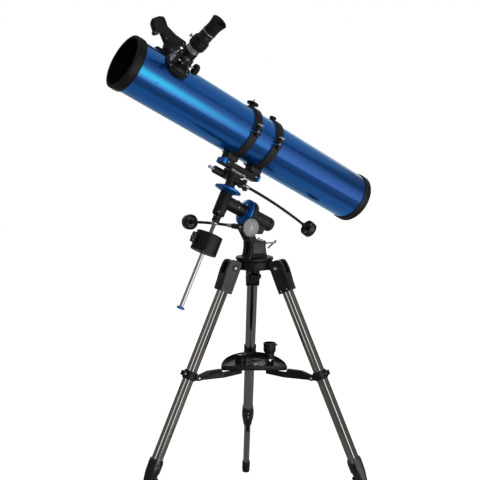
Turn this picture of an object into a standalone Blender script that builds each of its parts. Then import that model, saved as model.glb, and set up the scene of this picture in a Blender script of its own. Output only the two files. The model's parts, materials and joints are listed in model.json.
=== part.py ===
"""Newtonian reflector telescope on a German equatorial mount and a tripod.

Sizes are in millimetres and degrees; meshes and places are turned into metres
when an object is made. The world origin is on the floor under the tripod's
axis, +Z is up, and the tube looks towards -X at its home position, parallel
to the polar axis.
"""

from math import atan2, cos, hypot, pi, radians, sin

import bmesh
import bpy
from mathutils import Matrix, Vector

MM = 0.001

# Tripod
LEG_SPLAY = radians(24.7)      # from the vertical
LEG_RADIUS_AT_ZERO = 97.8      # leg centre line from the axis, at the leg's zero point
LEG_ZERO_HEIGHT = 729.5        # height of that point over the floor
TRIPOD_PLACE = (24.2, 5.28)     # its axis, so that the whole object is centred on the origin
TRIPOD_TURN = radians(-1.4)    # the tripod's turn under the mount
LEG_AZIMUTHS = (180, 60, 300)
LEG_PIVOT = -54.0              # places along a leg, downwards from its zero point
BRACKET_END = 18.1
COLLAR = 265.9
CLAMP_TOP = 508.0
LEG_TUBE_END = 548.0
CLAMP_END = 583.0
FOOT_TOP = 755.0
FOOT_END = 806.0
LEG_OUTER_RADIUS = 15.875
LEG_INNER_RADIUS = 10.5

# Equatorial mount
LATITUDE = radians(25.33)
LATITUDE_PIVOT = (-32.0, 162.0)    # x and z from the leg's zero height
BOSS_RADIUS = 14.5                 # of the cheeks around the latitude pivot
RA_OFFSET = 170.0                  # polar axis, along the declination direction
DEC_OFFSET = 196.8                 # declination axis, along the polar direction
CIRCLE_RADIUS = 38.0
COUNTERWEIGHT = (37.5, 14.5, 69.5)     # radius, low end and high end on its axis
ROD_RADIUS = 6.0
KNOB_RADIUS = 24.0

# Optical tube
TUBE_AXIS = 365.6              # along the declination direction
TUBE_RADIUS = 70.6
TUBE_FRONT = 625.2             # along the polar direction
TUBE_REAR = -232.0
APERTURE = 114.0
RINGS = (226.0, 147.0)
RING_WIDTH = 22.0
RING_HINGE = 92.3              # from the tube's axis
FOCUSER = 506.0                # along the polar direction
FOCUSER_ROLL = radians(49)     # from the tube's top towards -Y

ROUND = 32                     # sides of a turned part

COLOURS = {
    "blue_metal": ((0.02, 0.12, 0.42), 0.22, 0.6),
    "blue_anodised": ((0.01, 0.13, 0.55), 0.3, 0.9),
    "black_metal": ((0.02, 0.02, 0.022), 0.45, 0.0),
    "black_plastic": ((0.025, 0.025, 0.027), 0.5, 0.0),
    "rubber": ((0.015, 0.015, 0.015), 0.8, 0.0),
    "steel": ((0.62, 0.6, 0.57), 0.2, 1.0),
    "aluminium": ((0.75, 0.75, 0.76), 0.35, 1.0),
    "mirror": ((0.92, 0.93, 0.95), 0.03, 1.0),
}


# ---------------------------------------------------------------- frames

def axes(origin, z_axis, x_axis):
    """A frame in millimetres from an origin, a z axis and a rough x axis."""
    z = Vector(z_axis).normalized()
    y = z.cross(Vector(x_axis)).normalized()
    x = y.cross(z)
    frame = Matrix((x, y, z)).transposed().to_4x4()
    frame.translation = Vector(origin)
    return frame


def moved(frame, x=0.0, y=0.0, z=0.0):
    return frame @ Matrix.Translation((x, y, z))


def turned(frame, angle, axis):
    return frame @ Matrix.Rotation(angle, 4, axis)


POLAR = Vector((-cos(LATITUDE), 0, sin(LATITUDE)))
DECLINATION = Vector((sin(LATITUDE), 0, cos(LATITUDE)))
SIDE = Vector((0, 1, 0))
ZERO = Vector((*TRIPOD_PLACE, LEG_ZERO_HEIGHT))


def at(polar, declination, side=0.0):
    """A point of the mount, along its polar and declination directions."""
    return ZERO + POLAR * polar + DECLINATION * declination + SIDE * side


def in_plane(polar, declination):
    """The same point's x and z from the leg's zero height."""
    point = at(polar, declination) - ZERO
    return point.x, point.z


TRIPOD = turned(Matrix.Translation(ZERO), TRIPOD_TURN, "Z")
AZIMUTH = Matrix.Translation(ZERO)
RA_AXIS = axes(at(0, RA_OFFSET), POLAR, DECLINATION)
DEC_AXIS = axes(at(DEC_OFFSET, 0), DECLINATION, -POLAR)
TUBE = axes(at(0, TUBE_AXIS), POLAR, DECLINATION)
UPRIGHT_XZ = axes(ZERO, (0, -1, 0), (1, 0, 0))     # its x and y are the world's x and z


def leg_frame(azimuth):
    """z runs down the leg and x points outwards from it."""
    a = radians(azimuth)
    outward = Vector((cos(a), sin(a), 0))
    down = outward * sin(LEG_SPLAY) - Vector((0, 0, cos(LEG_SPLAY)))
    across = outward * cos(LEG_SPLAY) + Vector((0, 0, sin(LEG_SPLAY)))
    local = axes(outward * LEG_RADIUS_AT_ZERO, down, across)
    return TRIPOD @ local


# ---------------------------------------------------------------- meshes

def clear_scene():
    for item in list(bpy.data.objects):
        bpy.data.objects.remove(item, do_unlink=True)


def material(name):
    found = bpy.data.materials.get(name)
    if found:
        return found
    colour, roughness, metallic = COLOURS[name]
    made = bpy.data.materials.new(name)
    made.use_nodes = True
    shader = made.node_tree.nodes["Principled BSDF"]
    shader.inputs["Base Color"].default_value = (*colour, 1)
    shader.inputs["Roughness"].default_value = roughness
    shader.inputs["Metallic"].default_value = metallic
    made.diffuse_color = (*colour, 1)
    return made


def empty(name, frame, parent=None):
    made = bpy.data.objects.new(name, None)
    made.empty_display_size = 0.03
    bpy.context.scene.collection.objects.link(made)
    world = in_metres(frame)
    if parent:
        made.parent = parent
        made.matrix_parent_inverse = Matrix(parent["world"]).inverted()
    made.matrix_basis = world
    made["world"] = [list(row) for row in world]
    return made


def in_metres(frame):
    world = frame.copy()
    world.translation = world.translation * MM
    return world


def add(name, shape, frame, finish, parent):
    """Makes an object of a bmesh given in millimetres in its own frame."""
    bmesh.ops.remove_doubles(shape, verts=shape.verts, dist=1e-4)
    bmesh.ops.recalc_face_normals(shape, faces=shape.faces)
    bmesh.ops.scale(shape, vec=(MM, MM, MM), verts=shape.verts)
    mesh = bpy.data.meshes.new(name)
    shape.to_mesh(mesh)
    shape.free()
    mesh.materials.append(material(finish))
    made = bpy.data.objects.new(name, mesh)
    bpy.context.scene.collection.objects.link(made)
    made.parent = parent
    made.matrix_parent_inverse = Matrix(parent["world"]).inverted()
    made.matrix_basis = in_metres(frame)
    return made


def lathe(profile, sides=ROUND, turn=0.0):
    """Turns a closed outline of (radius, height) points about z."""
    shape = bmesh.new()
    rings = []
    for radius, height in profile:
        if radius == 0:
            rings.append([shape.verts.new((0, 0, height))] * sides)
            continue
        ring = []
        for i in range(sides):
            a = turn + 2 * pi * i / sides
            ring.append(shape.verts.new((radius * cos(a), radius * sin(a), height)))
        rings.append(ring)
    closed = profile[0][0] > 0 and profile[-1][0] > 0
    pairs = list(zip(rings, rings[1:]))
    if closed:
        pairs.append((rings[-1], rings[0]))
    for low, high in pairs:
        for i in range(sides):
            j = (i + 1) % sides
            corners = []
            for vertex in (low[i], low[j], high[j], high[i]):
                if vertex not in corners:
                    corners.append(vertex)
            if len(corners) > 2:
                shape.faces.new(corners)
    return shape


def rod(radius, low, high, sides=ROUND):
    return lathe([(0, low), (radius, low), (radius, high), (0, high)], sides)


def pipe(outer, inner, low, high, sides=ROUND):
    return lathe([(inner, low), (outer, low), (outer, high), (inner, high)], sides)


def prism(outline, low, high):
    """Extrudes an outline of (x, y) points from z = low to z = high."""
    shape = bmesh.new()
    bottom = [shape.verts.new((x, y, low)) for x, y in outline]
    top = [shape.verts.new((x, y, high)) for x, y in outline]
    shape.faces.new(bottom)
    shape.faces.new(top)
    for i in range(len(outline)):
        j = (i + 1) % len(outline)
        shape.faces.new((bottom[i], bottom[j], top[j], top[i]))
    return shape


def block(x, y, z):
    """A box between its (low, high) limits on each axis."""
    return prism([(x[0], y[0]), (x[1], y[0]), (x[1], y[1]), (x[0], y[1])], z[0], z[1])


def arc(centre, radius, start, end, steps):
    """Points of an arc, with its angles in degrees."""
    points = []
    for i in range(steps + 1):
        a = radians(start + (end - start) * i / steps)
        points.append((centre[0] + radius * cos(a), centre[1] + radius * sin(a)))
    return points


def sweep(points, radius, sides=12):
    """A round bar along a path of points."""
    shape = bmesh.new()
    rings = []
    for i, point in enumerate(points):
        ahead = Vector(points[min(i + 1, len(points) - 1)])
        behind = Vector(points[max(i - 1, 0)])
        frame = axes(point, ahead - behind, (0.1, 0.2, 1))
        ring = []
        for k in range(sides):
            a = 2 * pi * k / sides
            ring.append(shape.verts.new(frame @ Vector((radius * cos(a), radius * sin(a), 0))))
        rings.append(ring)
    for low, high in zip(rings, rings[1:]):
        for k in range(sides):
            j = (k + 1) % sides
            shape.faces.new((low[k], low[j], high[j], high[k]))
    shape.faces.new(rings[0])
    shape.faces.new(rings[-1])
    return shape


def boolean(target, shape, frame, operation):
    """Cuts a shape from an object, or joins it on."""
    tool = add(f"{target.name}_tool", shape, frame, "black_metal", target.parent)
    tool.hide_render = True
    tool.display_type = "WIRE"
    change = target.modifiers.new(operation.lower(), "BOOLEAN")
    change.operation = operation
    change.object = tool
    change.solver = "EXACT"
    return tool


def cut(target, shape, frame):
    return boolean(target, shape, frame, "DIFFERENCE")


def join(target, shape, frame):
    return boolean(target, shape, frame, "UNION")


# ---------------------------------------------------------------- tripod

def build_tripod(root):
    hub = add("tripod_hub", rod(52, 40, 67), TRIPOD, "black_metal", root)
    lug_top = 62.0
    pivot_radius = LEG_RADIUS_AT_ZERO + LEG_PIVOT * sin(LEG_SPLAY)
    pivot_height = -LEG_PIVOT * cos(LEG_SPLAY)
    for azimuth in LEG_AZIMUTHS:
        leg = turned(TRIPOD, radians(azimuth), "Z")
        upright = leg @ axes((0, 0, 0), (0, -1, 0), (1, 0, 0))
        outline = [(36, 41), (70, 40)]
        outline += arc((pivot_radius, pivot_height), 9.5, -90, 60, 6)
        outline += [(66, lug_top), (36, lug_top)]
        join(hub, prism(outline, -10, 10), upright)
        cut(hub, rod(4.08, -30, 30), moved(upright, pivot_radius, pivot_height))
    cut(hub, rod(5.2, 30, 80), TRIPOD)

    knob = [(0, 0), (8, 0), (19, 4), (20, 10), (19, 17), (9, 20), (9, 30), (5, 30), (5, 64), (0, 64)]
    azimuth_bolt = empty("azimuth_bolt_axis", TRIPOD, root)
    add("azimuth_knob", lathe(knob), moved(TRIPOD, z=9.5), "black_plastic", azimuth_bolt)

    legs = []
    for number, azimuth in enumerate(LEG_AZIMUTHS, 1):
        legs.append(build_leg(number, leg_frame(azimuth), root))
    build_spreader(legs, root)


def build_leg(number, leg, root):
    pivot = empty(f"leg_pivot_{number}", moved(leg, z=LEG_PIVOT), root)
    side = leg @ axes((0, 0, 0), (0, 1, 0), (1, 0, 0))     # x outwards, y up the leg

    shoulder = [(-18.5, -BRACKET_END), (18.5, -BRACKET_END), (20, 5), (24, 40), (23.5, 56)]
    shoulder += [(19, 68), (10, 75), (-2, 76), (-13, 70), (-17, 60), (-18.5, 0)]
    bracket = add(f"leg_bracket_{number}", prism(shoulder, -20, 20), side, "black_metal", pivot)
    cut(bracket, block((-40, 40), (30, 90), (-10.4, 10.4)), side)
    cut(bracket, rod(16.1, -27, 60), leg)
    join(bracket, rod(4, -15, 15), moved(side, y=-LEG_PIVOT))

    tube = pipe(LEG_OUTER_RADIUS, 14.6, -26, LEG_TUBE_END, 28)
    add(f"leg_tube_{number}", tube, leg, "steel", pivot)

    collar = add(f"spreader_collar_{number}", pipe(19.6, 16.1, COLLAR - 12, COLLAR + 12, 28),
                 leg, "black_plastic", pivot)
    ear = [(-17.5, -COLLAR - 9), (-17.5, -COLLAR + 9)]
    ear += arc((-27, -COLLAR), 7, 90, 270, 6)
    for low, high in ((-11, -6.3), (6.3, 11)):
        join(collar, prism(ear, low, high), side)
    cut(collar, rod(2.58, -20, 20), moved(side, x=-27, y=-COLLAR))

    clamp = [(16.1, CLAMP_TOP), (19.6, CLAMP_TOP), (20, 520), (19, 548), (15, 572)]
    clamp += [(13.4, CLAMP_END), (10.8, CLAMP_END), (10.8, 549), (16.1, 549)]
    body = add(f"leg_clamp_{number}", lathe(clamp, 28), leg, "black_plastic", pivot)
    join(body, block((-20, -12), (-568, -556), (-3.2, 3.2)), side)

    lever_axis = empty(f"clamp_lever_axis_{number}", moved(leg, x=-22.3, z=557), pivot)
    handle = [(-24.4, -557), (-20.3, -557), (-20.3, -575), (-18, -598), (-22, -600), (-25.5, -578)]
    add(f"clamp_lever_{number}", prism(handle, -5, 5), side, "black_plastic", lever_axis)

    slide = empty(f"leg_slide_{number}", moved(leg, z=CLAMP_END), pivot)
    inner = [(9, 400), (14.3, 400), (14.3, 412), (LEG_INNER_RADIUS, 412)]
    inner += [(LEG_INNER_RADIUS, 790), (9, 790)]
    add(f"leg_inner_{number}", lathe(inner, 28), leg, "steel", slide)
    foot = [(10.7, FOOT_TOP), (13, FOOT_TOP), (13.5, 762), (12.5, 796), (11, FOOT_END)]
    foot += [(0, FOOT_END), (0, 790.3), (10.7, 790.3)]
    pad = add(f"leg_foot_{number}", lathe(foot, 28), leg, "rubber", slide)
    cut(pad, block((-600, 600), (-600, 600), (-80, 0)), Matrix.Identity(4))
    return {"frame": leg, "pivot": pivot}


def build_spreader(legs, root):
    """Three arms hinged on the collars, and the half-moon tray over them."""
    hinge_radius = LEG_RADIUS_AT_ZERO + COLLAR * sin(LEG_SPLAY) - 27 * cos(LEG_SPLAY)
    hinge_height = -COLLAR * cos(LEG_SPLAY) - 27 * sin(LEG_SPLAY)
    for number, azimuth in enumerate(LEG_AZIMUTHS, 1):
        upright = turned(TRIPOD, radians(azimuth), "Z") @ axes((0, 0, 0), (0, -1, 0), (1, 0, 0))
        axis = empty(f"arm_axis_{number}", moved(upright, hinge_radius, hinge_height),
                     legs[number - 1]["pivot"])
        low = hinge_height - 10
        outline = arc((hinge_radius, hinge_height), 6.5, -90, 60, 6)
        shoulder = hinge_height + (2 if azimuth == LEG_AZIMUTHS[1] else 16)
        outline += [(150, shoulder), (108, shoulder), (102, low + 11)]
        outline += [(42, low + 14.6), (42, low + 5), (100, low)]
        arm = add(f"spreader_arm_{number}", prism(outline, -6, 6), upright, "black_plastic", axis)
        cut(arm, rod(2.58, -20, 20), moved(upright, hinge_radius, hinge_height))

    back = turned(TRIPOD, radians(LEG_AZIMUTHS[1]), "Z")     # x points to the rear leg
    floor = hinge_height + 6.0
    rim = floor + 15.0
    outer = [(-43, -94), (-43, 94)] + arc_ellipse(-43, 171, 94, 90, -90, 24)[1:-1]
    inner = [(-40.6, -91.6), (-40.6, 91.6)] + arc_ellipse(-40.6, 166.2, 91.6, 90, -90, 24)[1:-1]
    lift = empty("tray_lift", moved(back, z=floor), root)
    tray = add("accessory_tray", prism(outer, floor, rim), back, "black_plastic", lift)
    cut(tray, prism(inner, floor + 2.4, rim + 5), back)
    join(tray, rod(17, floor, floor + 6, 24), back)


def arc_ellipse(x, length, width, start, end, steps):
    """Points of an ellipse about (x, 0), with its angles in degrees."""
    points = []
    for i in range(steps + 1):
        a = radians(start + (end - start) * i / steps)
        points.append((x + length * cos(a), width * sin(a)))
    return points


# ---------------------------------------------------------------- mount base

def build_base(root):
    azimuth = empty("azimuth_axis", AZIMUTH, root)
    base = add("azimuth_base", pipe(54, 5.2, 67.3, 76), AZIMUTH, "black_metal", azimuth)
    px, pz = LATITUDE_PIVOT
    cheek = [(-31, 74), (-24.5, 105), (-24.5, 120)]
    cheek += arc((px, pz), BOSS_RADIUS, 205, -40, 14)
    cheek += [(-4, 124), (24.5, 122), (24.5, 105), (31, 74)]
    join(base, prism(cheek, -20.6, 20.6), UPRIGHT_XZ)
    cut(base, block((-18, 18), (96, 220), (-13.3, 13.3)), UPRIGHT_XZ)
    cut(base, block((-70, -15), (127, 220), (-13.3, 13.3)), UPRIGHT_XZ)
    slot = arc((0, 88), 6, 180, 360, 8) + arc((0, 112), 6, 0, 180, 8)
    cut(base, prism(slot, 15, 30), axes(ZERO, (-1, 0, 0), (0, -1, 0)))
    cut(base, rod(4.1, -40, 40), moved(UPRIGHT_XZ, px, pz))
    rear = axes(ZERO + Vector((0, 0, 112)), (1, 0, 0), (0, 1, 0))
    cut(base, rod(3.1, 10, 40, 20), rear)

    t_axis = empty("latitude_bolt_axis", rear, azimuth)
    bolt = add("latitude_bolt", rod(3, 15, 74, 20), rear, "steel", t_axis)
    bar = axes(ZERO + Vector((71, 14, 105.5)), (0, 0.832, -0.555), (1, 0, 0))
    join(bolt, rod(2.6, -22, 22, 20), bar)
    return azimuth


def build_polar_housing(azimuth):
    px, pz = LATITUDE_PIVOT
    latitude = empty("latitude_axis", moved(UPRIGHT_XZ, px, pz), azimuth)
    case = [(0, 18), (14, 18), (19, 22), (20.5, 28), (20.5, 92), (37, 96), (37.8, 100)]
    case += [(37.8, 112), (0, 112)]
    housing = add("polar_housing", lathe(case, 40), RA_AXIS, "black_metal", latitude)
    under_circle = RA_OFFSET - CIRCLE_RADIUS - 0.6
    web = [in_plane(128, 128), (-51, 155), (-41, 149), (-24, 148), (-4, 151), (5, 140), (18, 140)]
    web += [(24, 150), in_plane(30, RA_OFFSET), in_plane(111.5, RA_OFFSET)]
    web += [in_plane(111.5, under_circle), in_plane(121, under_circle)]
    join(housing, prism(web, -12.8, 12.8), UPRIGHT_XZ)
    worm = axes(ZERO + Vector((-57.4, 0, 163.8)), (0, 1, 0), (1, 0, 0))
    join(housing, rod(8, -13.5, 24, 20), worm)
    for low, high in ((12.9, 45), (-45, -12.9)):
        cut(housing, rod(BOSS_RADIUS + 0.8, low, high), moved(UPRIGHT_XZ, px, pz))
    join(housing, rod(4, -31, 20.5, 24), moved(UPRIGHT_XZ, px, pz))
    cut(housing, rod(12.1, 60, 140, 28), RA_AXIS)

    boss_frame = axes(ZERO + Vector((px, 0, pz)), (0, -1, 0), (1, 0, 0))
    scale = add("latitude_scale", pipe(12, 4.2, 21, 38), boss_frame, "aluminium", latitude)
    disc = [(0, 38.4), (25.5, 38.4), (26, 39), (26, 41), (24.6, 42), (8, 42), (8, 44.5), (0, 44.5)]
    disc_frame = axes(ZERO + Vector((px - 9, 0, pz + 1.5)), (0, -1, 0), (1, 0, 0))
    join(scale, rod(11.5, 30, 39), boss_frame)
    join(scale, lathe(disc, 40), disc_frame)

    circle = [(13, 112.5), (35, 112.5), (CIRCLE_RADIUS, 116), (CIRCLE_RADIUS, 118.5)]
    circle += [(34, 121), (20, 126.5), (13, 126.5)]
    circle_axis = empty("ra_circle_axis", RA_AXIS, latitude)
    add("ra_setting_circle", lathe(circle, 40), RA_AXIS, "blue_anodised", circle_axis)

    join(housing, rod(5.2, 20, 52, 20), worm)
    cable = [(-57.4, 52.3, 163.8), (-57.4, 70, 163.8), (-57, 110, 163.2)]
    cable += [(-56, 170, 161.5), (-55, 225, 158.8), (-54, 262, 156.5)]
    path = [ZERO + Vector(point) for point in smooth_path(cable, 4)]
    add("ra_cable", sweep(path, 4.2), Matrix.Identity(4), "rubber", latitude)
    end = Vector(cable[-1]) - Vector(cable[-2])
    knob_frame = axes(ZERO + Vector(cable[-1]) + end.normalized() * 0.4, end, (1, 0, 0))
    build_knob("ra_knob", knob_frame, latitude)
    return latitude


def smooth_path(points, steps):
    """A Catmull-Rom curve through the points."""
    made = []
    rows = [Vector(p) for p in points]
    rows = [rows[0] * 2 - rows[1]] + rows + [rows[-1] * 2 - rows[-2]]
    for a, b, c, d in zip(rows, rows[1:], rows[2:], rows[3:]):
        for i in range(steps):
            t = i / steps
            made.append(0.5 * (2 * b + (c - a) * t + (2 * a - 5 * b + 4 * c - d) * t * t
                               + (3 * b - a - 3 * c + d) * t ** 3))
    made.append(rows[-2])
    return made


def build_knob(name, frame, parent):
    axis = empty(f"{name}_axis", frame, parent)
    r = KNOB_RADIUS
    profile = [(0, 0), (8, 0), (8, 5), (r - 5, 5), (r - 5, 2), (r - 1, 2), (r, 4)]
    profile += [(r, 22), (r - 2, 26), (r - 7, 27), (0, 25)]
    return add(name, lathe(profile, 30), frame, "black_plastic", axis)


# ---------------------------------------------------------------- declination

def build_declination(latitude):
    ra = empty("ra_axis", RA_AXIS, latitude)
    body = [(0, 126), (16.5, 126), (17.5, 128), (18, 133), (18, 194), (0, 194)]
    housing = add("dec_housing", lathe(body), DEC_AXIS, "black_metal", ra)
    arm = [(0, 62), (12, 62), (12, 128), (19, 128), (19, DEC_OFFSET - 6), (0, DEC_OFFSET - 6)]
    join(housing, lathe(arm, 28), RA_AXIS)
    cut(housing, rod(9.1, 110, 210), DEC_AXIS)

    dec = empty("dec_axis", DEC_AXIS, ra)
    shaft = [(4.2, 104), (9, 104), (9, 213.3), (14.5, 213.3), (14.5, 248), (0, 248), (0, 132), (4.2, 132)]
    head = add("dec_head", lathe(shaft), DEC_AXIS, "black_metal", dec)
    join(head, block((-23, 23), (-20, 20), (247, 252)), DEC_AXIS)
    join(head, block((-26, 26), (-22, 22), (251.5, 258)), DEC_AXIS)
    worm = axes(at(DEC_OFFSET, 243, 30), -POLAR, DECLINATION)
    join(head, rod(11, -50, 50, 24), worm)
    join(head, block((-20, 20), (5, 30), (233, 250)), DEC_AXIS)
    nut = lathe([(8.8, 108), (11.5, 108), (11.5, 125.6), (8.8, 125.6)])
    join(head, nut, DEC_AXIS)

    circle = [(9.4, 194.5), (20, 194.5), (30, 199.5), (36, 200), (CIRCLE_RADIUS, 203)]
    circle += [(37, 206), (32, 208.5), (15, 212.8), (9.4, 212.8)]
    circle_axis = empty("dec_circle_axis", DEC_AXIS, dec)
    add("dec_setting_circle", lathe(circle, 40), DEC_AXIS, "blue_anodised", circle_axis)

    lock_direction = -POLAR * 0.31 - SIDE * 0.95
    lock = axes(at(DEC_OFFSET, 224), lock_direction, DECLINATION)
    lock_axis = empty("dec_lock_axis", lock, dec)
    star = []
    for k in range(3):
        star += arc((0, 0), 7, 120 * k - 32, 120 * k - 28, 1)
        star += arc((13 * cos(2 * pi * k / 3), 13 * sin(2 * pi * k / 3)), 5.2,
                    120 * k - 80, 120 * k + 80, 6)
    lock_knob = add("dec_lock_knob", prism(star, 41, 51), lock, "black_plastic", lock_axis)
    join(lock_knob, rod(3.6, 15.2, 45, 20), lock)

    join(head, rod(5.2, 45, 79, 20), worm)
    cable = [(117.5, 243), (100, 243), (71, 242.4), (22, 240), (-28, 235.8), (-80, 230), (-122, 224)]
    points = [at(p, d, 30) for p, d in cable]
    add("dec_cable", sweep(smooth_path(points, 4), 4.2), Matrix.Identity(4), "rubber", dec)
    end = points[-1] - points[-2]
    build_knob("dec_knob", axes(points[-1] + end.normalized() * 0.4, end, (0, 1, 0)), dec)
    build_counterweight(dec)
    return dec


def build_counterweight(dec):
    rod_low = -143.6
    shaft = [(0, rod_low), (ROD_RADIUS, rod_low), (ROD_RADIUS, 103.7), (4, 103.7), (4, 131), (0, 131)]
    add("counterweight_shaft", lathe(shaft), DEC_AXIS, "steel", dec)
    cap = [(0, -151), (9, -151), (11, -149), (11, -146), (10, -144), (0, -144)]
    add("toe_cap", lathe(cap), DEC_AXIS, "blue_anodised", dec)
    radius, low, high = COUNTERWEIGHT
    slide = empty("counterweight_axis", moved(DEC_AXIS, z=(low + high) / 2), dec)
    weight = [(6.1, low), (radius - 2, low), (radius, low + 2), (radius, high - 2)]
    weight += [(radius - 2, high), (6.1, high)]
    body = add("counterweight", lathe(weight, 36), DEC_AXIS, "black_metal", slide)
    lock = axes(at(DEC_OFFSET, 43), POLAR, DECLINATION)
    cut(body, rod(3.1, 5, 45, 16), lock)
    lock_axis = empty("counterweight_knob_axis", lock, slide)
    wing = [(-15, -5), (-15, 5), (-4, 7), (4, 7), (15, 5), (15, -5), (4, -7), (-4, -7)]
    knob = add("counterweight_knob", prism(wing, 42, 51), lock, "black_plastic", lock_axis)
    join(knob, rod(3, 7, 44, 16), lock)


# ---------------------------------------------------------------- tube

def half_ring(outer, inner, low, high, upper, gap=0.4):
    """Half of a ring about z, split on the plane x = 0."""
    lean = 0 if upper else 180
    start = 90 - lean
    tilt = gap / outer * 180 / pi
    outline = arc((0, 0), outer, start - tilt, start - 180 + tilt, 24)
    outline += arc((0, 0), inner, start - 180 + tilt, start - tilt, 24)
    return prism(outline, low, high)


def build_saddle(dec):
    bar = add("saddle_bar", block((DEC_OFFSET - 254, DEC_OFFSET - 124), (-19, 19), (258.3, 279)),
              DEC_AXIS, "black_metal", dec)
    ring_outer = TUBE_RADIUS + 5.6
    for number, place in enumerate(RINGS, 1):
        low = place - RING_WIDTH / 2
        high = place + RING_WIDTH / 2
        lower = add(f"ring_lower_{number}", half_ring(ring_outer, TUBE_RADIUS + 0.3, low, high, False),
                    TUBE, "black_metal", dec)
        foot = (low - 4, high + 10) if number == 1 else (low - 10, high + 4)
        join(lower, block((279.3 - TUBE_AXIS, 12 - ring_outer), (-16, 16), foot), TUBE)
        cut(lower, rod(TUBE_RADIUS + 0.3, low - 20, high + 20, 48), TUBE)
        join(lower, block((-9, -0.4), (75, 92), (low + 4, high - 4)), TUBE)
        join(lower, block((-7, -0.4), (-90, -75), (low + 3, high - 3)), TUBE)
        hinge = moved(TUBE, y=RING_HINGE, z=place)
        hinge_axis = empty(f"ring_hinge_{number}", hinge, dec)
        upper = add(f"ring_upper_{number}", half_ring(ring_outer, TUBE_RADIUS + 0.3, low, high, True),
                    TUBE, "black_metal", hinge_axis)
        join(upper, block((0.4, 9), (75, 92), (low + 4, high - 4)), TUBE)
        join(upper, block((0.4, 7), (-90, -75), (low + 3, high - 3)), TUBE)
        if number == 1:
            mushroom = [(0, 72.5), (8, 72.5), (8, 82), (17, 84), (17, 90), (5, 92), (2.5, 92), (2.5, 100), (0, 100)]
        else:
            mushroom = [(0, 72.5), (6, 72.5), (6, 79), (10, 80), (10, 86), (0, 86)]
        stud = moved(TUBE, z=place) @ axes((0, 0, 0), (1, 0, 0), (0, 1, 0))
        join(upper, lathe(mushroom, 24), stud)
        cut(upper, rod(TUBE_RADIUS + 0.3, low - 20, high + 20, 48), TUBE)


def build_tube(dec):
    wall = TUBE_RADIUS - 1.2
    focuser = turned(moved(TUBE, z=FOCUSER), -FOCUSER_ROLL, "Z") @ axes((0, 0, 0), (1, 0, 0), (0, 0, 1))
    tube = add("main_tube", pipe(TUBE_RADIUS, wall, TUBE_REAR + 12, TUBE_FRONT - 12, 48),
               TUBE, "blue_metal", dec)
    cut(tube, rod(21, 40, 90, 24), focuser)

    front = [(66, TUBE_FRONT), (72.5, TUBE_FRONT), (74, TUBE_FRONT - 2), (74, TUBE_FRONT - 25)]
    front += [(TUBE_RADIUS + 0.3, TUBE_FRONT - 25), (TUBE_RADIUS + 0.3, TUBE_FRONT - 11.6)]
    front += [(66, TUBE_FRONT - 11.6)]
    add("front_ring", lathe(front, 48), TUBE, "black_metal", dec)

    rear = [(0, TUBE_REAR), (70, TUBE_REAR), (74, TUBE_REAR + 3), (74, TUBE_REAR + 24)]
    rear += [(TUBE_RADIUS + 0.3, TUBE_REAR + 24), (TUBE_RADIUS + 0.3, TUBE_REAR + 11.6)]
    rear += [(62, TUBE_REAR + 11.6), (62, TUBE_REAR + 20), (0, TUBE_REAR + 20)]
    add("rear_cell", lathe(rear, 48), TUBE, "black_metal", dec)

    glass = APERTURE / 2
    face = TUBE_REAR + 40
    mirror = [(0, TUBE_REAR + 24), (glass, TUBE_REAR + 24), (glass, face), (glass * 0.6, face - 1)]
    mirror += [(0, face - 1.6)]
    add("primary_mirror", lathe(mirror, 36), TUBE, "mirror", dec)

    hub = FOCUSER + 40
    spider = add("spider", rod(12, hub - 14, hub + 12, 24), TUBE, "black_metal", dec)
    for k in range(3):
        vane = turned(TUBE, radians(120 * k + 60) - FOCUSER_ROLL, "Z")
        join(spider, block((10, wall - 0.5), (-0.6, 0.6), (hub - 10, hub + 8)), vane)
    tilt = turned(moved(TUBE, z=FOCUSER), -FOCUSER_ROLL, "Z")
    flat = turned(tilt, radians(-45), "Y")
    add("secondary_mirror", rod(14, -6, 0, 24), flat, "mirror", dec)
    stalk = axes((0, 0, 0), (0, 0, 1), (1, 0, 0))
    join(spider, rod(4, 15, 30, 16), tilt @ stalk)
    return focuser


def build_focuser(dec, focuser):
    """z points away from the tube, along the drawtube."""
    body = add("focuser_body", lathe([(0, 60), (37, 60), (37, 76), (24, 84), (22, 112), (0, 112)], 36),
               focuser, "black_plastic", dec)
    join(body, block((-12, 12), (10, 29), (90, 112)), focuser)
    cut(body, rod(TUBE_RADIUS + 0.3, -60, 60, 64), focuser @ axes((0, 0, 0), (1, 0, 0), (0, 1, 0)))
    cut(body, rod(19.6, 20, 130, 32), focuser)
    pinion = moved(focuser, z=103) @ axes((0, 22.4, 0), (1, 0, 0), (0, 1, 0))
    cut(body, rod(2.6, -40, 40, 20), pinion)

    draw_axis = empty("drawtube_axis", focuser, dec)
    draw = [(16.1, 72), (19, 72), (19, 148), (22.5, 149), (23, 153), (23, 172), (21, 174), (16.1, 174)]
    add("drawtube", lathe(draw, 36), focuser, "steel", draw_axis)
    ocular_axis = empty("eyepiece_axis", focuser, draw_axis)
    ocular = [(0, 150), (15.8, 150), (15.8, 174.4), (18, 174.4), (18.5, 205), (17, 208)]
    ocular += [(17, 222), (21, 240), (18.5, 240), (15, 224), (0, 222)]
    add("eyepiece", lathe(ocular, 36), focuser, "black_plastic", ocular_axis)

    knob_axis = empty("focuser_knob_axis", pinion, dec)
    knobs = add("focuser_knobs", rod(2.4, -37, 37, 20), pinion, "black_plastic", knob_axis)
    for side in (-1, 1):
        low, high = sorted((side * 26, side * 38))
        join(knobs, rod(14.5, low, high, 28), pinion)


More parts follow.
